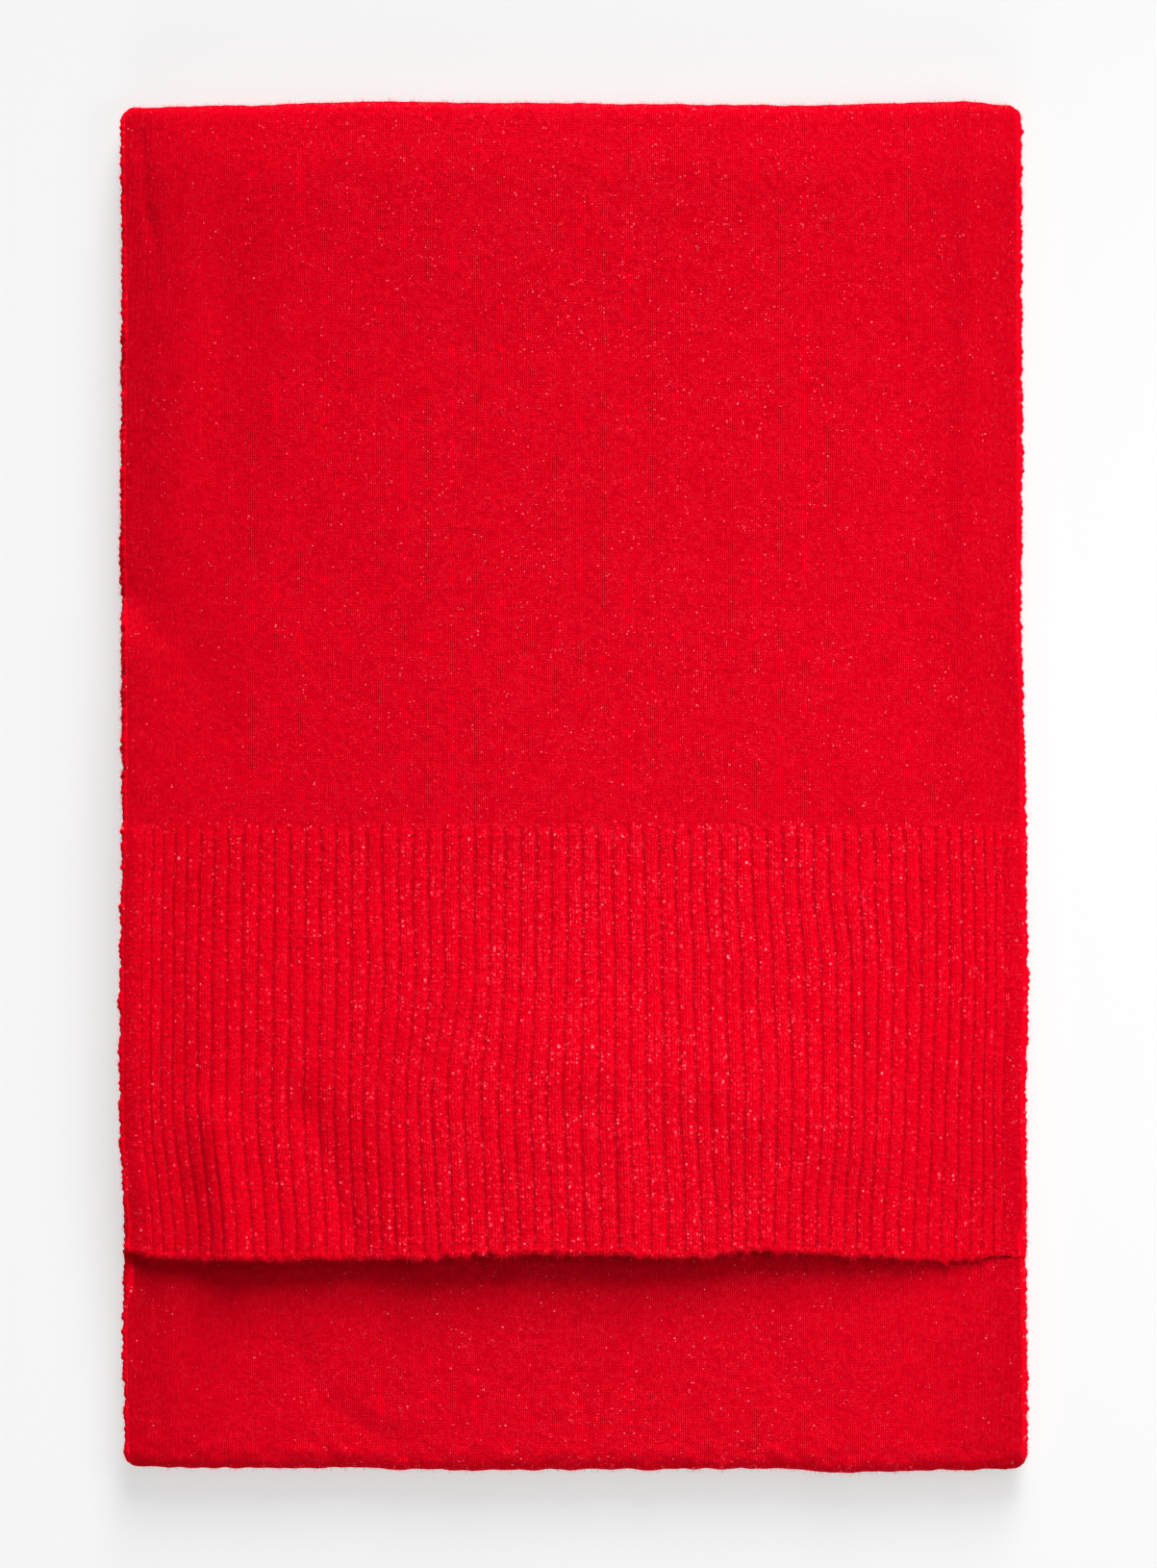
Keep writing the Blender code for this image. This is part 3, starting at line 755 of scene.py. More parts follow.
def clothShell(name, rows, x, wales, relief, innerCells, material):
    # a closed shell: fine outer face, round lips at the selvedges, coarse inner face
    left, right = x[:, :1], x[:, -1:]
    outer = placed(rows, x, rows["outer"][:, :1], rows["outer"][:, 1:], relief)
    skins[name] = outer
    rise = (1 + np.sin(lipAngles)) / 2
    lipY = rows["inner"][:, :1] + (rows["outer"] - rows["inner"])[:, :1] * rise
    lipZ = rows["inner"][:, 1:] + (rows["outer"] - rows["inner"])[:, 1:] * rise
    reach = pile["lipNose"] * np.cos(lipAngles)
    rightLip = placed(rows, right + reach, lipY, lipZ)
    leftLip = placed(rows, left - reach, lipY, lipZ)[:, ::-1]
    back = np.linspace(0, 1, innerCells + 1)
    inner = placed(rows, right + (left - right) * back, rows["inner"][:, :1], rows["inner"][:, 1:])
    loops = np.concatenate((outer, rightLip, inner, leftLip), axis=1)
    rowCount, loopCount = loops.shape[:2]

    # stitch coordinates: number of the stitch column and of the stitch row
    perMetre = (wales[:, -1:] - wales[:, :1]) / (right - left)
    columns = [wales, wales[:, -1:] + reach * perMetre]
    columns += [wales[:, -1:] + (wales[:, :1] - wales[:, -1:]) * back]
    columns += [wales[:, :1] - reach[::-1] * perMetre, wales[:, :1]]
    columns = np.concatenate(columns, axis=1)
    courses = np.repeat(rows["along"][:, None] / gauge["course"], loopCount + 1, axis=1)
    stitches = np.stack((columns, courses), axis=-1)

    # bake coordinates: the outer face takes most of the sheet
    middle = loops[rowCount // 2]
    steps = np.linalg.norm(np.diff(np.concatenate((middle, middle[:1])), axis=0), axis=1)
    across = np.concatenate(([0.0], np.cumsum(steps))) / steps.sum()
    faceEnd = across[x.shape[1] - 1]
    rest = (across - faceEnd) / (1 - faceEnd) * (sheetLayout["across"] - sheetLayout["face"])
    face = across / faceEnd * sheetLayout["face"]
    across = np.where(across <= faceEnd, face, sheetLayout["face"] + rest)
    up = sheetLayout["rows"] * (rows["along"] - rows["along"][0]) / np.ptp(rows["along"])
    bake = np.stack(np.meshgrid(across, up), axis=-1)

    index = np.arange(rowCount * loopCount).reshape(rowCount, loopCount)
    index = np.concatenate((index, index[:, :1]), axis=1)
    faces = gridCells(index).tolist()
    stitchCorners, bakeCorners = [gridCells(stitches).reshape(-1, 2)], [gridCells(bake).reshape(-1, 2)]
    depth = np.concatenate((np.ones(x.shape[1]), rise[::-1], np.zeros(innerCells + 1), rise))
    for row, level in zip((0, rowCount - 1), sheetLayout["endRows"]):
        width = (loops[row, :, 0] - loops[row, :, 0].min()) / np.ptp(loops[row, :, 0])
        for cell in endCells(x.shape[1], len(lipAngles), innerCells + 1):
            cell = np.array(cell if row else cell[::-1])
            faces.append(index[row, cell].tolist())
            stitchCorners.append(stitches[row, cell])
            height = level + sheetLayout["endDepth"] * depth[cell]
            bakeCorners.append(np.stack((width[cell], height), axis=-1))
    uvSets = {"stitches": np.concatenate(stitchCorners), "OFBake": np.concatenate(bakeCorners)}
    piece = meshPiece(name, loops, faces, uvSets, material)
    if rows["outer"][1, 0] < rows["outer"][0, 0]:
        piece.data.flip_normals()
        skins[name] = outer[:, ::-1]
    return piece


def flatEdges(rows):
    # where the flat face of each row ends, left and right
    left, right = selvedges(rows["layer"], rows["outer"][:, 0])
    return left[:, None] + pile["lipReach"], right[:, None] - pile["lipReach"]


# The ribbed end. Sizes are in metres.
ribbedEndLook = {
    "valleyDepth": 0.00024, "valleyRound": 0.00038, "flatness": 3.4, "crown": 0.00043,
    "middleDip": 0.00014, "dipHalf": 0.00050, "ribShift": 0.55, "ribShiftSize": 0.009,
    # shares of the depth, valley by valley inward from each edge
    "leftShares": (0.22, 0.38, 0.50, 0.60, 0.68, 0.78, 0.88, 0.95), "rightShares": (0.28, 0.50, 0.74, 0.94),
    "wander": ((0.0210, 0.00035), (0.0046, 0.00022)),  # size and shift of each
    "onset": 0.0042, "onsetShift": 0.0006, "onsetSize": 0.0052, "onsetDelay": 0.0004,
    "onsetRows": 7, "onsetFirst": 0.86,  # rows in the onset, and the share of it where they begin
    "edgeRise": 0.0004, "edgeRamp": 2.2, "edgeTop": 0.60, "edgeFall": 0.50,  # top and fall are shares
    "hemRound": 0.0017, "hemRows": 6, "hemTip": 0.18,
    "hemSteps": (0.0005, 0.0011, 0.0018, 0.0027, 0.0038),
    "rimStart": 0.0012, "rimLength": 0.0016, "rimRise": 0.0004, "rimSoft": 0.0008,
    "rowStep": 0.00142, "edgeCells": 6, "innerCells": 60,
}
ribColumns = np.array((0, 0.035, 0.08, 0.14, 0.23, 0.36, 0.50, 0.64, 0.77, 0.86, 0.92, 0.965))


def ribPlaces(look, rows, left, right):
    # the columns of the ribbed face: x, place inside its rib, number of the rib and its width
    first, last = left + gauge["plainEdge"], right - gauge["plainEdge"]
    ribs = np.arange(gauge["ribs"] + 1)
    along = rows["along"][:, None]
    wander = sum(shift * softNoise(along, 3.7 * size * ribs, size, 21) for size, shift in look["wander"])
    lineX = first + (last - first) * valleys
    lineX = lineX + ribBend(lineX, rows["outer"][:, :1]) + wander
    inside = np.append(np.tile(ribColumns, gauge["ribs"]), 0.0)
    rib = np.append(np.repeat(ribs[:-1], len(ribColumns)), gauge["ribs"])
    widths = np.diff(lineX, axis=1)
    width = widths[:, np.minimum(rib, gauge["ribs"] - 1)]
    return lineX[:, rib] + width * inside, inside, rib, width


def ribForm(look, along, inside, rib, width):
    # height of the face from valley to valley, over the plain face
    uneven = softNoise(along, 5.3 * look["ribShiftSize"] * rib, look["ribShiftSize"], 22)
    shares = np.ones(gauge["ribs"] + 1)
    shares[:len(look["leftShares"])] = look["leftShares"]
    shares[-len(look["rightShares"]):] = look["rightShares"][::-1]
    after = np.minimum(rib + 1, gauge["ribs"])
    valleyShare = np.where(inside < 0.5, shares[rib], shares[after])
    ribShare = (shares[rib] + shares[after]) / 2
    fromValley = np.minimum(inside, 1 - inside) * width
    rounded = np.hypot(fromValley, look["valleyRound"]) - look["valleyRound"]
    falling = np.clip(1 - 2 * rounded / width, 0, 1) ** look["flatness"]
    dip = look["middleDip"] * np.exp(-(((inside - 0.5) * width / look["dipHalf"]) ** 2))
    valley = look["valleyDepth"] * valleyShare * (1 + look["ribShift"] * uneven)
    return (look["crown"] * (1 - falling) - dip) * ribShare - valley * falling


def makeRibbedEnd(look):
    angles = np.linspace(look["hemTip"], math.pi / 2, look["hemRows"])
    stations = [
        flatRow(3, pile["hem"] + look["hemRound"] * (1 - math.cos(angle)), share=math.sin(angle))
        for angle in angles
    ]
    start, onset = pile["hem"] + look["hemRound"], look["onset"]
    *hemSteps, pastHem = look["hemSteps"]
    stations += [flatRow(3, start + step) for step in hemSteps]
    stations += flatRows(3, start + pastHem, pile["ribStart"] - onset, look["rowStep"])
    firstRow = pile["ribStart"] - onset * look["onsetFirst"]
    stations += flatRows(3, firstRow, pile["ribStart"], onset / look["onsetRows"])
    rows = rowTable(stations)
    along, y = rows["along"][:, None], rows["outer"][:, :1]
    left, right = flatEdges(rows)
    ribX, inside, rib, width = ribPlaces(look, rows, left, right)
    share = np.linspace(0, 1, look["edgeCells"], endpoint=False)
    leftStrip = left + (ribX[:, :1] - left) * share
    rightStrip = (right + (ribX[:, -1:] - right) * share)[:, ::-1]
    x = np.concatenate((leftStrip, ribX, rightStrip), axis=1)

    # it rises out of the plain cloth and sinks into the rolled rim of the hem
    strip = look["edgeRise"] * ease(look["edgeRamp"] * share)
    strip = strip * (1 - ease((share - look["edgeTop"]) / look["edgeFall"]))
    strip = strip * np.ones(y.shape)
    relief = ribForm(look, along, inside, rib, width)
    relief = np.concatenate((strip, relief, strip[:, ::-1]), axis=1)
    startShift = look["onsetShift"] * softNoise(x, 0 * x, look["onsetSize"], 23)
    rising = ease((pile["ribStart"] + startShift - look["onsetDelay"] - y) / onset)
    rising = rising * ease((pile["ribStart"] - y) / look["onsetShift"])  # level at the seam
    rim = 1 - ease((along - look["rimStart"]) / look["rimLength"])
    relief = relief * rising * (1 - rim)
    relief += look["rimRise"] * rim * ease(along / look["rimSoft"]) + feltRelief(x, along)

    # the ridge of a rib takes three of its four stitch columns
    plainWales = waleNumber(x, left, right)
    ribWales = gauge["walesPerRib"] * rib + np.interp(inside, (0, 0.1, 0.5, 0.9, 1), (0, 1, 2, 3, 4))
    cells = look["edgeCells"]
    wales = plainWales.copy()
    turned = rising[:, cells:-cells]
    wales[:, cells:-cells] = plainWales[:, cells:-cells] * (1 - turned) + ribWales * turned
    return rows, clothShell("ribbedEnd", rows, x, wales, relief, look["innerCells"], ribWool)


plainSheetLook = {
    "outerCells": 360, "innerCells": 60, "rowStep": 0.00140, "foldSteps": 20, "bottomFoldSteps": 24,
}


def makePlainSheet(name, rows, look, form=None):
    # form takes the felted relief and gives the whole relief
    left, right = flatEdges(rows)
    x = left + (right - left) * np.linspace(0, 1, look["outerCells"] + 1)
    relief = feltRelief(x, rows["along"][:, None])
    if form:
        relief = form(x, rows, relief)
    return clothShell(name, rows, x, waleNumber(x, left, right), relief, look["innerCells"], plainWool)


def makeFrontStretch(look, start):
    stations = flatRows(3, pile["ribStart"], topFlat, look["rowStep"])
    stations += foldRows(topFlat, 1, 3, pile["foldReach"], look["foldSteps"])
    rows = rowTable(stations, start)
    return rows, makePlainSheet("frontStretch", rows, look)


# The lower panel shows from here down, with fine rows; above it the second layer is covered
panel = {"start": -0.1480, "soft": 0.006, "firstRow": 0.001, "rowStep": 0.00105, "coveredStep": 0.008}
dimples = {"from": -0.2190, "soft": 0.003, "size": 0.0052, "height": 0.00046, "seed": 15}
panelFolds = (
    {"line": ((-0.0990, -0.1700), (-0.0840, -0.2040), (-0.0660, -0.2160), (-0.0500, -0.2200)),
     "flanks": (0.0130, 0.0080), "height": -0.0006, "sharp": 0.5},
    {"line": ((0.0000, -0.1600), (0.0012, -0.1960), (0.0060, -0.2250)),
     "flanks": (0.0060, 0.0040), "height": -0.0004, "sharp": 0.6},
    {"line": ((-0.1375, -0.1600), (-0.1380, -0.1960), (-0.1390, -0.2250)),
     "flanks": (0.0060, 0.0050), "height": -0.0004, "sharp": 0.5},
    {"line": ((0.0560, -0.1720), (0.0700, -0.2000), (0.0960, -0.2150)),
     "flanks": (0.0120, 0.0120), "height": -0.0003, "sharp": 0.2},
)


def panelRelief(x, rows, relief):
    y = rows["outer"][:, :1]
    bare = ease((panel["start"] - y) / panel["soft"])
    nearFold = ease((dimples["from"] - y) / dimples["soft"])
    relief = relief + nearFold * dimples["height"] * softNoise(x, 0 * x + y, dimples["size"], dimples["seed"])
    for fold in panelFolds:
        relief = relief + foldForm(fold, x, y)
    return relief * (pile["coveredRelief"] + (1 - pile["coveredRelief"]) * bare)


def makeSecondStretch(look, start):
    stations = flatRows(2, topFlat - pile["gap"], panel["start"], panel["coveredStep"])
    stations += flatRows(2, panel["start"] - panel["firstRow"], bottomFlat, panel["rowStep"])
    stations += foldRows(bottomFlat, -1, 2, pile["foldReach"], look["bottomFoldSteps"])
    rows = rowTable(stations, start)
    return rows, makePlainSheet("secondStretch", rows, look, panelRelief)


lowerSheetLook = {
    "outerCells": 60, "innerCells": 60, "rowStep": 0.0045, "foldSteps": 12,
    "firstRow": 0.003, "endRows": 5, "endTip": 0.2, "endRound": 0.0015,
}


def coveredRelief(_, rows, felt):
    # none on the face that rests
    return pile["coveredRelief"] * felt * (rows["layer"] > 0)[:, None]


def makeLowerStretch(look, start):
    stations = [flatRow(1, bottomFlat + pile["gap"])]
    stations += flatRows(1, bottomFlat + look["firstRow"], topFlat, look["rowStep"])
    stations += foldRows(topFlat, 1, 1, pile["hiddenReach"], look["foldSteps"])
    stations += flatRows(0, topFlat - look["rowStep"], bottomFlat + look["firstRow"], look["rowStep"], -1)
    for angle in np.linspace(math.pi / 2, look["endTip"], look["endRows"]):
        out = look["endRound"] * (1 - math.cos(angle))
        stations.append(flatRow(0, bottomFlat + pile["gap"] + out, -1, math.sin(angle)))
    rows = rowTable(stations, start)
    return makePlainSheet("lowerStretch", rows, look, coveredRelief)


endRows, ribbedEnd = makeRibbedEnd(ribbedEndLook)
frontRows, frontStretch = makeFrontStretch(plainSheetLook, endRows["along"][-1])
secondRows, secondStretch = makeSecondStretch(plainSheetLook, frontRows["along"][-1])
lowerStretch = makeLowerStretch(lowerSheetLook, secondRows["along"][-1])
print("four stretches of cloth made")

# The chain of edge stitches along each selvedge: bumps on a soft tube
chainLook = {
    "pitch": 0.0021, "pitchShift": 0.55, "rowsPerBump": 4, "points": 8,
    "inset": {-1: 0.00135, 1: 0.00115}, "halfWidth": 0.00140, "halfHeight": 0.00164,
    "bumpOut": 0.00070, "bumpUp": 0.00006, "bumpPower": 0.8, "unevenness": 0.75,
    "pitchShiftSize": 0.009, "unevenSize": 0.0043, "rollIn": 0.0002,
    "cornerTip": 0.12, "cornerRows": 10, "foldSteps": 22, "hiddenFoldSteps": 20, "endInset": 0.001,
    "bakeStrips": 24,
    "lumps": ((0.0023, 0.00060), (0.0042, 0.00036), (0.0085, 0.00034)),  # size and height of each
}
justAbove = 0.00002  # keeps chains and fibres off the floor
# Where the edge rolls up or bunches: layer, side, place along, half length, lift and extra width
edgeRolls = (
    {"layer": 2, "side": -1, "y": -0.1620, "halfLength": 0.0090, "lift": 0.00060, "wide": 0.00060},
    {"layer": 2, "side": 1, "y": -0.1690, "halfLength": 0.0200, "lift": 0.00010, "wide": 0.00020},
    {"layer": 3, "side": 1, "y": -0.1510, "halfLength": 0.0040, "lift": 0.00040, "wide": 0.00050},
)


def wholeLength(look):
    # rows along all four layers, with +1 where the loose end's upper face is on the outside
    corner, step = pile["cornerRadius"], look["pitch"] / look["rowsPerBump"]
    turned = 1 - np.cos(np.linspace(look["cornerTip"], math.pi / 2, look["cornerRows"]))
    parts = [
        (1, [flatRow(3, y) for y in pile["hem"] + corner * turned]),
        (1, flatRows(3, pile["hem"] + corner + step, topFlat, step)),
        (1, foldRows(topFlat, 1, 3, pile["foldReach"], look["foldSteps"])),
        (-1, flatRows(2, topFlat - step, bottomFlat, step)),
        (-1, foldRows(bottomFlat, -1, 2, pile["foldReach"], look["foldSteps"])),
        (1, flatRows(1, bottomFlat + step, topFlat, step)),
        (1, foldRows(topFlat, 1, 1, pile["hiddenReach"], look["hiddenFoldSteps"])),
        (1, flatRows(0, topFlat - step, bottomFlat + look["endInset"], step, -1)),
    ]
    stations = [station for _, stretch in parts for station in stretch]
    facing = np.concatenate([np.full(len(stretch), float(sign)) for sign, stretch in parts])
    return rowTable(stations), facing


def chainPoints(side, look):
    rows, facing = wholeLength(look)
    middle = (rows["inner"] + rows["outer"]) / 2
    steps = np.hypot(*np.diff(middle, axis=0).T)
    along = np.concatenate(([0.0], np.cumsum(steps)))
    phase = look["pitchShift"] * softNoise(along, 0 * along, look["pitchShiftSize"], 41 + side)
    phase = along / look["pitch"] + phase
    bump = np.abs(np.sin(math.pi * phase)) ** look["bumpPower"]
    size = (1 - softNoise(along, 0 * along + 0.5, look["unevenSize"], 43 + side)) / 2
    size = 1 - look["unevenness"] * size
    out = look["bumpOut"] * bump * size + edgeLumps(look, along, 45 + side)
    up = look["bumpUp"] * (bump - 0.5)
    lift = np.zeros(len(along))
    for roll in edgeRolls:
        if roll["side"] == side:
            near = np.exp(-(((rows["outer"][:, 0] - roll["y"]) / roll["halfLength"]) ** 4))
            near = near * (rows["layer"] == roll["layer"])
            lift += roll["lift"] * near
            out -= look["rollIn"] * near
            up += roll["wide"] * near
    edge = selvedges(rows["layer"], rows["outer"][:, 0])[(side + 1) // 2]
    angles = np.linspace(0, 2 * math.pi, look["points"], endpoint=False)
    halfWidth = look["halfWidth"] + up[:, None]
    halfHeight = look["halfHeight"] + 0.3 * up[:, None]
    outward = np.cos(angles) * halfWidth + out[:, None] * np.clip(np.cos(angles), 0, 1)
    x = edge[:, None] + side * (outward - look["inset"][side] - up[:, None])
    through = rows["out"] * facing[:, None]
    offset = np.sin(angles) * halfHeight
    y = middle[:, :1] + through[:, :1] * offset
    z = middle[:, 1:] + through[:, 1:] * offset + lift[:, None]
    return placed(rows, x, y, np.maximum(z, justAbove))


def tubeFaces(rowCount, points, flipped):
    index = np.arange(rowCount * points).reshape(rowCount, points)
    ring = np.concatenate((index, index[:, :1]), axis=1)
    faces = gridCells(ring).tolist() + [index[0, ::-1].tolist(), index[-1].tolist()]
    return [face[::-1] for face in faces] if flipped else faces


def makeChain(name, side, look):
    points = chainPoints(side, look)
    faces = tubeFaces(len(points), look["points"], side > 0)
    # the long tube is laid out on its bake sheet in short strips, side by side
    perStrip = math.ceil((len(points) - 1) / look["bakeStrips"])
    row = np.repeat(np.arange(len(points) - 1), look["points"])
    column = np.tile(np.arange(look["points"]), len(points) - 1)
    u = (row // perStrip)[:, None] + 0.05 + 0.9 * (column[:, None] + cellCorners[:, 0]) / look["points"]
    v = ((row % perStrip)[:, None] + cellCorners[:, 1]) / perStrip * 0.97
    uv = np.stack((u / look["bakeStrips"], v), axis=-1)
    if side > 0:
        uv = uv[:, ::-1]
    capAngles = 2 * math.pi * np.arange(look["points"]) / look["points"]
    cap = 0.985 + 0.01 * np.stack((np.cos(capAngles), np.sin(capAngles)), axis=-1)
    bake = np.concatenate((uv.reshape(-1, 2), cap - [0.5, 0], cap))
    return meshPiece(name, points, faces, {"OFBake": bake}, selvedgeWool)


leftChain = makeChain("leftSelvedgeChain", -1, chainLook)
rightChain = makeChain("rightSelvedgeChain", 1, chainLook)
print("selvedges made")


def unit(ways):
    return ways / np.linalg.norm(ways, axis=-1, keepdims=True)


def scatterOn(skin, count, seed, keep=None):
    # places spread evenly over a skin, with the way out and two directions on the face
    chance = np.random.default_rng(seed)
    acrossEdge, alongEdge = skin[:-1, 1:] - skin[:-1, :-1], skin[1:, :-1] - skin[:-1, :-1]
    normal = np.cross(acrossEdge, alongEdge)
    area = np.linalg.norm(normal, axis=-1)
    weight = area if keep is None else area * keep(skin[:-1, :-1])
    total = np.cumsum(weight.ravel())
    cell = np.searchsorted(total, chance.uniform(0, total[-1], count))
    row, column = np.unravel_index(np.minimum(cell, weight.size - 1), weight.shape)
    across, along = chance.uniform(0, 1, (2, count, 1))
    here = skin[row, column] + (skin[row, column + 1] - skin[row, column]) * across
    here = here + (skin[row + 1, column] - skin[row, column]) * along
    out = normal[row, column] / area[row, column][:, None]
    right = unit(acrossEdge[row, column])
    return here, out, right, np.cross(out, right), chance


def stripMesh(name, centre, sideways, shade, material):
    # flat ribbons: centre and sideways are (fibres, points, 3)
    count, steps = centre.shape[:2]
    points = np.stack((centre - sideways, centre + sideways), axis=2)
    points[..., 2] = np.maximum(points[..., 2], justAbove)
    index = np.arange(count * steps * 2).reshape(count, steps, 2)
    faces = np.stack((index[:, :-1, 0], index[:, :-1, 1], index[:, 1:, 1], index[:, 1:, 0]), axis=-1)
    faces = faces.reshape(-1, 4)
    cells = math.ceil(math.sqrt(count))
    number = np.repeat(np.arange(count), steps - 1)
    step = np.tile(np.arange(steps - 1), count)
    u = (number % cells)[:, None] + 0.1 + 0.8 * cellCorners[:, 0]
    v = (number // cells)[:, None] + 0.1 + 0.8 * (step[:, None] + cellCorners[:, 1]) / (steps - 1)
    bake = np.stack((u, v), axis=-1) / cells
    shades = np.stack((np.repeat(shade[number], 4), np.full(len(number) * 4, 0.5)), axis=-1)
    uvSets = {"OFBake": bake.reshape(-1, 2), "shade": shades}
    return meshPiece(name, points, faces.tolist(), uvSets, material)


napLook = {
    "length": (0.0010, 0.0028), "halfWidth": (0.000030, 0.000055), "steps": 3,
    "lean": 0.55, "foot": 0.00003, "rise": 0.00020, "riseShares": (0.3, 1.2), "bend": 0.35, "taper": 0.5,
    "shade": (0.25, 0.58),
}


def ribbonsOn(skin, count, seed, look, keep=None):
    # ribbons that lie on a face, more along the cloth than across it, and bulge off it a little
    here, out, right, forward, chance = scatterOn(skin, count, seed, keep)
    turn = chance.normal(0, look["lean"], (count, 1, 1))
    ahead = forward[:, None] * np.cos(turn) + right[:, None] * np.sin(turn)
    aside = right[:, None] * np.cos(turn) - forward[:, None] * np.sin(turn)
    out = out[:, None]
    length = chance.uniform(*look["length"], (count, 1, 1))
    place = np.linspace(-0.5, 0.5, look["steps"])[None, :, None]
    arch = 1 - (2 * place) ** 2
    rise = look["rise"] * chance.uniform(*look["riseShares"], (count, 1, 1)) * arch + look["foot"]
    bend = look["bend"] * length * chance.normal(0, 1, (count, 1, 1)) * arch * 0.5
    centre = here[:, None] + ahead * length * place + out * rise + aside * bend
    taper = 1 - look["taper"] * np.abs(2 * place)
    halfWidth = chance.uniform(*look["halfWidth"], (count, 1, 1)) * taper
    return centre, aside * halfWidth, chance.uniform(*look["shade"], count)


def growNap():
    spots = (
        (skins["frontStretch"], 17000, 51, None),
        (skins["ribbedEnd"], 13000, 52, None),
        (skins["secondStretch"], 7000, 53, lambda place: place[..., 1] < pile["hem"] + 0.004),
    )
    parts = [ribbonsOn(skin, count, seed, napLook, keep) for skin, count, seed, keep in spots]
    return stripMesh("napFibres", *(np.concatenate(part) for part in zip(*parts)), fibreWool)


napFibres = growNap()

fuzzLook = {
    "length": (0.0006, 0.0019), "halfWidth": (0.000022, 0.000042), "steps": 3,
    "looseness": 0.45, "root": 0.15, "bend": 0.6, "taper": 0.6, "shade": (0.35, 0.85),
    "sideCount": 8500, "upward": 0.35, "outward": 0.6,  # up at the sides, and out at folds and hem
}
# the hem's fuzz is darker: painted shade of the shadow under the hem
shadedHemFuzzLook = fuzzLook | {"length": (0.0006, 0.0024), "shade": (0.0, 0.34)}
# the top fold's fuzz is paler: painted highlight where the low light catches it
litTopFuzzLook = fuzzLook | {"length": (0.0005, 0.0016), "shade": (0.55, 1.0)}


def fuzzAt(here, out, chance, look):
    # ribbons that stand out from an edge and bend over
    count = len(here)
    out = unit(out + look["looseness"] * chance.normal(0, 1, (count, 3)))
    aside = unit(np.cross(out, chance.normal(0, 1, (count, 3))))
    length = chance.uniform(*look["length"], (count, 1, 1))
    place = np.linspace(0, 1, look["steps"])[None, :, None]
    bend = look["bend"] * length * place**2 * chance.normal(0, 1, (count, 1, 1))
    across = np.cross(out, aside)
    centre = here[:, None] + out[:, None] * length * (place - look["root"]) + across[:, None] * bend
    halfWidth = chance.uniform(*look["halfWidth"], (count, 1, 1)) * (1 - look["taper"] * place)
    return centre, aside[:, None] * halfWidth, chance.uniform(*look["shade"], count)


def growFuzz():
    parts = []
    for side, seed in ((-1, 61), (1, 62)):
        # on the chains, where they show at the side
        chain = chainPoints(side, chainLook)
        outer = chain[:, [0, 1, -1]] if side > 0 else chain[:, [-1, 0, 1]]
        here, out, _, _, chance = scatterOn(outer, fuzzLook["sideCount"], seed)
        upward = fuzzLook["upward"] * np.abs(out[:, 2:]) * (0, 0, 1)
        out = np.tile((side, 0.0, 0.0), (len(here), 1)) + upward
        parts.append(fuzzAt(here, out, chance, fuzzLook))
    for name, way, limit, count, seed, look in (
        ("frontStretch", 1, pile["topFold"] - 0.0020, 5200, 63, litTopFuzzLook),
        ("secondStretch", -1, -pile["bottomFold"] - 0.0020, 2600, 64, fuzzLook),
        ("ribbedEnd", -1, -pile["hem"] - 0.0014, 4200, 65, shadedHemFuzzLook),
    ):
        here, out, _, _, chance = scatterOn(
            skins[name], count, seed, lambda place: way * place[..., 1] > limit
        )
        parts.append(fuzzAt(here, out + (0, way * look["outward"], 0), chance, look))
    return stripMesh("edgeFuzz", *(np.concatenate(part) for part in zip(*parts)), fibreWool)


edgeFuzz = growFuzz()

# Pale fleck fibres: short curled hairs, clustered here and there
fleckLook = {
    "radius": (0.00012, 0.00034), "thickness": (0.000045, 0.000095), "steps": 7, "sides": 4,
    "turns": (0.35, 1.0), "stretch": (0.6, 1.9), "rise": 0.00010, "curlRise": 0.4, "shade": (0.62, 1.0),
    "clusterSize": 0.011, "clusterShare": 0.75, "sideLoss": 0.5,
}


def fleckCurls(skin, count, seed, look, keep=None):
    chance = np.random.default_rng(seed)
    here, out, right, forward, _ = scatterOn(skin, count * 3, seed, keep)
    crowd = softNoise(here[:, 0], here[:, 1], look["clusterSize"], seed + 1)
    # fewer curls towards the sides: partly real, partly painted shade
    fromLine = (here[:, 0] - paleAndShadeLine["x"]) / pile["halfWidth"]
    crowd = look["clusterShare"] * crowd - look["sideLoss"] * fromLine**2
    order = np.argsort(-(crowd + chance.uniform(0, 1, len(here))))[:count]
    here, out, right, forward = (part[order][:, None] for part in (here, out, right, forward))
    fullTurn = np.linspace(0, 2 * math.pi, look["steps"])[None, :, None]
    turns = chance.uniform(*look["turns"], (count, 1, 1)) * fullTurn
    turns = turns + chance.uniform(0, 2 * math.pi, (count, 1, 1))
    radius = chance.uniform(*look["radius"], (count, 1, 1))
    stretch = chance.uniform(*look["stretch"], (count, 1, 1))
    circle = right * np.cos(turns) * radius + forward * np.sin(turns) * radius * stretch
    centre = here + circle + out * (look["rise"] + look["curlRise"] * radius * (1 + np.sin(turns * 1.7)))
    ahead = unit(np.gradient(centre, axis=1))
    aside = unit(np.cross(ahead, np.broadcast_to(out, ahead.shape)))
    above = np.cross(aside, ahead)
    # thickest in the middle
    taper = np.sin(np.linspace(0.12, 1, look["steps"]) * 2.9)[None, :, None] * 0.6 + 0.4
    half = chance.uniform(*look["thickness"], (count, 1, 1)) * taper
    ring = [aside * half * math.cos(turn) + above * half * math.sin(turn)
            for turn in np.arange(look["sides"]) * 2 * math.pi / look["sides"]]
    return centre[:, :, None] + np.stack(ring, axis=2), chance.uniform(*look["shade"], count)


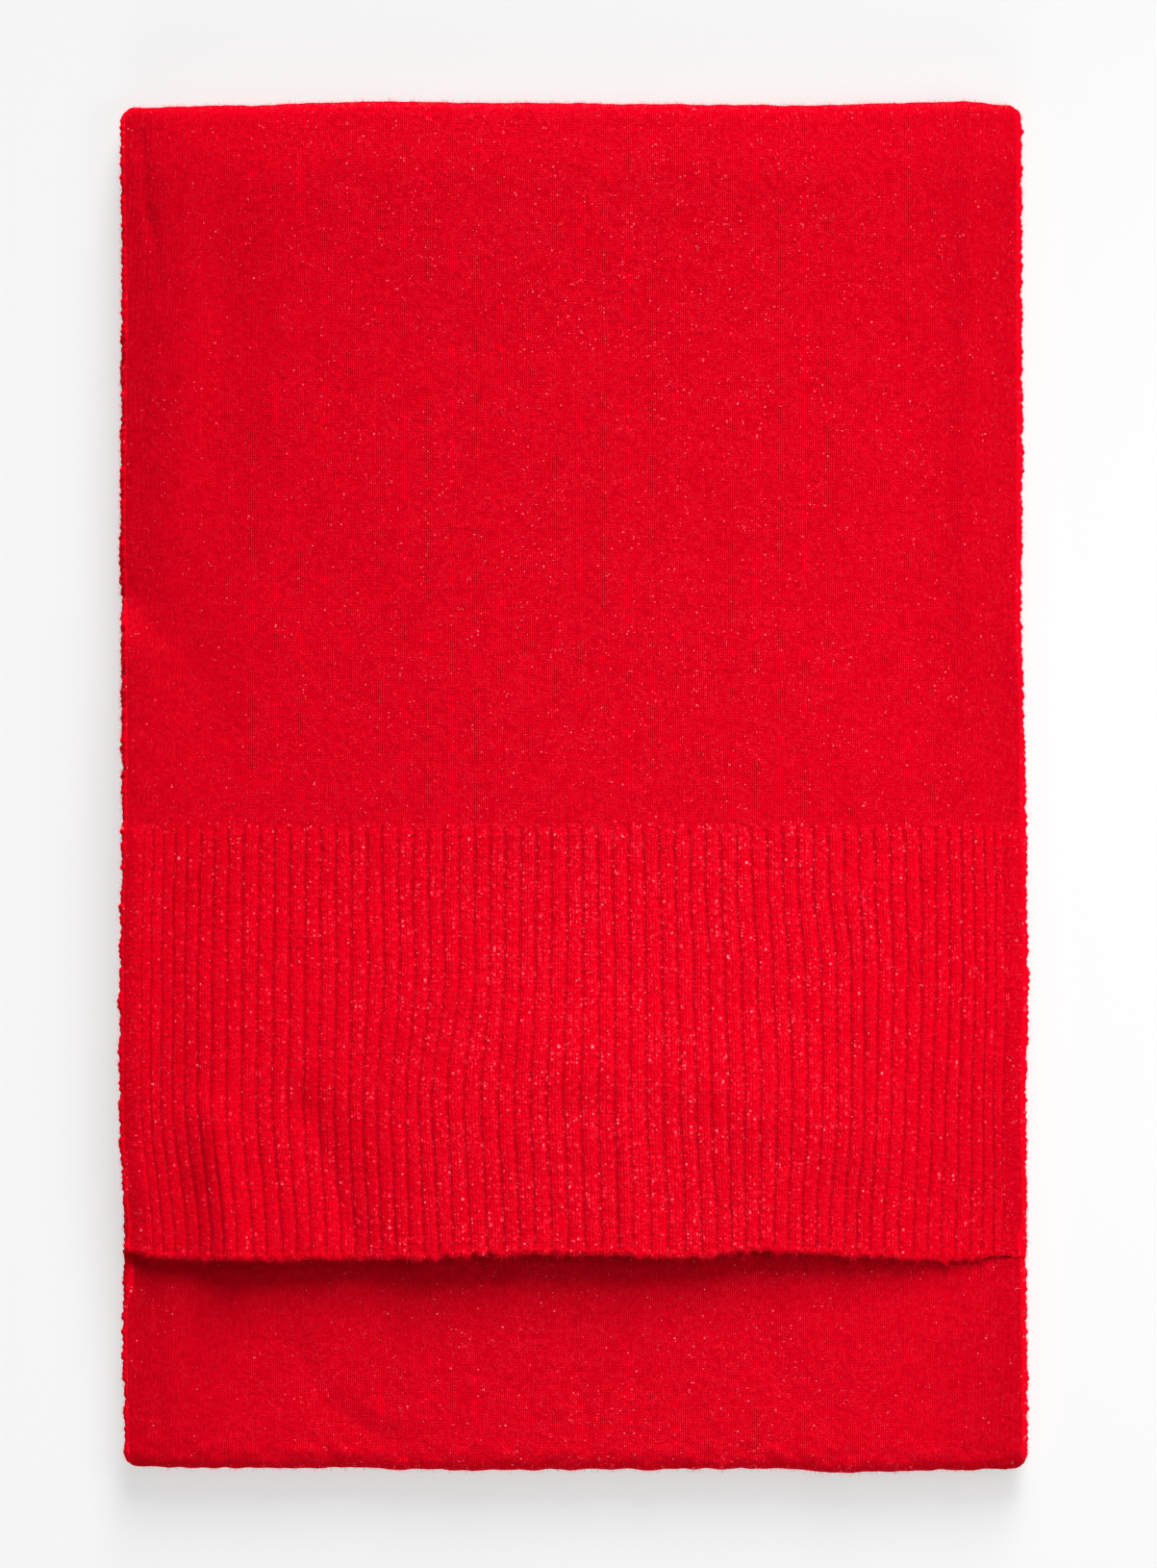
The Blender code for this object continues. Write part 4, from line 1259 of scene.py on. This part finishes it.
def makeFlecks(name, look):
    spots = (
        (skins["frontStretch"], 420, 71, None),
        (skins["ribbedEnd"], 520, 72, None),
        (skins["secondStretch"], 110, 73, lambda place: place[..., 1] < pile["hem"] - 0.004),
    )
    parts = [fleckCurls(skin, count, seed, look, keep) for skin, count, seed, keep in spots]
    points, shade = (np.concatenate(part) for part in zip(*parts))
    count, steps, ringSides = points.shape[:3]
    faces = []
    for number in range(count):
        base = number * steps * ringSides
        faces += [[place + base for place in face] for face in tubeFaces(steps, ringSides, True)]
    # each curl has a square of the bake sheet, with its walls below and its two ends above
    cells = math.ceil(math.sqrt(count))
    row = np.repeat(np.arange(steps - 1), ringSides)
    column = np.tile(np.arange(ringSides), steps - 1)
    u = 0.05 + 0.9 * (column[:, None] + cellCorners[:, 0]) / ringSides
    v = 0.05 + 0.75 * (row[:, None] + cellCorners[:, 1]) / (steps - 1)
    walls = np.stack((u, v), axis=-1)[:, ::-1].reshape(-1, 2)
    cap = 0.04 * (2 * cellCorners - 1)
    one = np.concatenate((walls, cap + (0.3, 0.9), cap + (0.7, 0.9)))
    origin = np.stack((np.arange(count) % cells, np.arange(count) // cells), axis=-1)
    bake = (origin[:, None] + one[None]) / cells
    shades = np.stack((np.repeat(shade, len(one)), np.full(count * len(one), 0.5)), axis=-1)
    return meshPiece(name, points, faces, {"OFBake": bake.reshape(-1, 2), "shade": shades}, fibreWool)


paleFlecks = makeFlecks("paleFlecks", fleckLook)
print("fibres grown")

# Floor, light and camera
studio = {
    "floorSize": 8.0, "floorColour": 0.26, "floorGlow": 0.60, "fill": 0.06,
    "cameraHeight": 2.4, "frameHeight": 0.5213, "sensor": 36.0, "centre": (0.0016, 0.0008),
}
# Wide soft lights, in degrees: from is 0 at the top of the view and 90 at its right
skyLights = (
    {"name": "windowLight", "from": 9.0, "height": 26.5, "spread": 34.0, "strength": 5.3},
    {"name": "lowLight", "from": 9.0, "height": 15.0, "spread": 16.0, "strength": 1.85},
    {"name": "roomLight", "from": 180.0, "height": 12.0, "spread": 30.0, "strength": 2.0},
)
sideSoftbox = {"at": (0.38, 0.02, 0.45), "size": 0.3, "watts": 1.30}


def addLamp(name, kind, place, strength):
    # a lamp that shines from this place to the origin
    light = bpy.data.lights.new(name, kind)
    light.energy = strength
    lamp = bpy.data.objects.new(name, light)
    lamp.location = place
    lamp.rotation_euler = (-place).to_track_quat("-Z", "Y").to_euler()
    lamp.visible_camera = False
    bpy.context.scene.collection.objects.link(lamp)
    return light


def makeStudio():
    white = (1.0, 1.0, 1.0, 1.0)
    bpy.ops.mesh.primitive_plane_add(size=studio["floorSize"])
    floor = bpy.context.object
    floor.name = "paleFloor"
    material = bpy.data.materials.new("paleFloor")
    material.use_nodes = True
    fill(material.node_tree, material.node_tree.nodes["Principled BSDF"], {
        "Base Color": (*[studio["floorColour"]] * 3, 1.0), "Roughness": 1.0, "Specular IOR Level": 0.0,
        "Emission Color": white, "Emission Strength": studio["floorGlow"],
    })
    floor.data.materials.append(material)
    for sky in skyLights:
        turn, height = math.radians(sky["from"]), math.radians(sky["height"])
        way = Vector((math.sin(turn) * math.cos(height), math.cos(turn) * math.cos(height), math.sin(height)))
        addLamp(sky["name"], "SUN", way * 3, sky["strength"]).angle = math.radians(sky["spread"])
    addLamp("sideSoftbox", "AREA", Vector(sideSoftbox["at"]), sideSoftbox["watts"]).size = sideSoftbox["size"]
    world = bpy.data.worlds.new("studioFill")
    world.use_nodes = True
    background = world.node_tree.nodes["Background"]
    fill(world.node_tree, background, {"Strength": studio["fill"], "Color": white})
    bpy.context.scene.world = world
    bpy.context.scene.view_settings.view_transform = "Standard"


def makeCamera():
    camera = bpy.data.cameras.new("camera")
    camera.sensor_width = studio["sensor"]
    camera.lens = studio["sensor"] * studio["cameraHeight"] / studio["frameHeight"]
    holder = bpy.data.objects.new("camera", camera)
    top = layerFloor(3) + pile["cloth"]
    holder.location = (*studio["centre"], top + studio["cameraHeight"])
    bpy.context.scene.collection.objects.link(holder)
    bpy.context.scene.camera = holder


makeStudio()
makeCamera()
print("studio made")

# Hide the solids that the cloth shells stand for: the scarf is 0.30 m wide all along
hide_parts("ribbed_end")
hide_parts("front_stretch")
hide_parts("second_stretch")
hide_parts("hidden_layers")
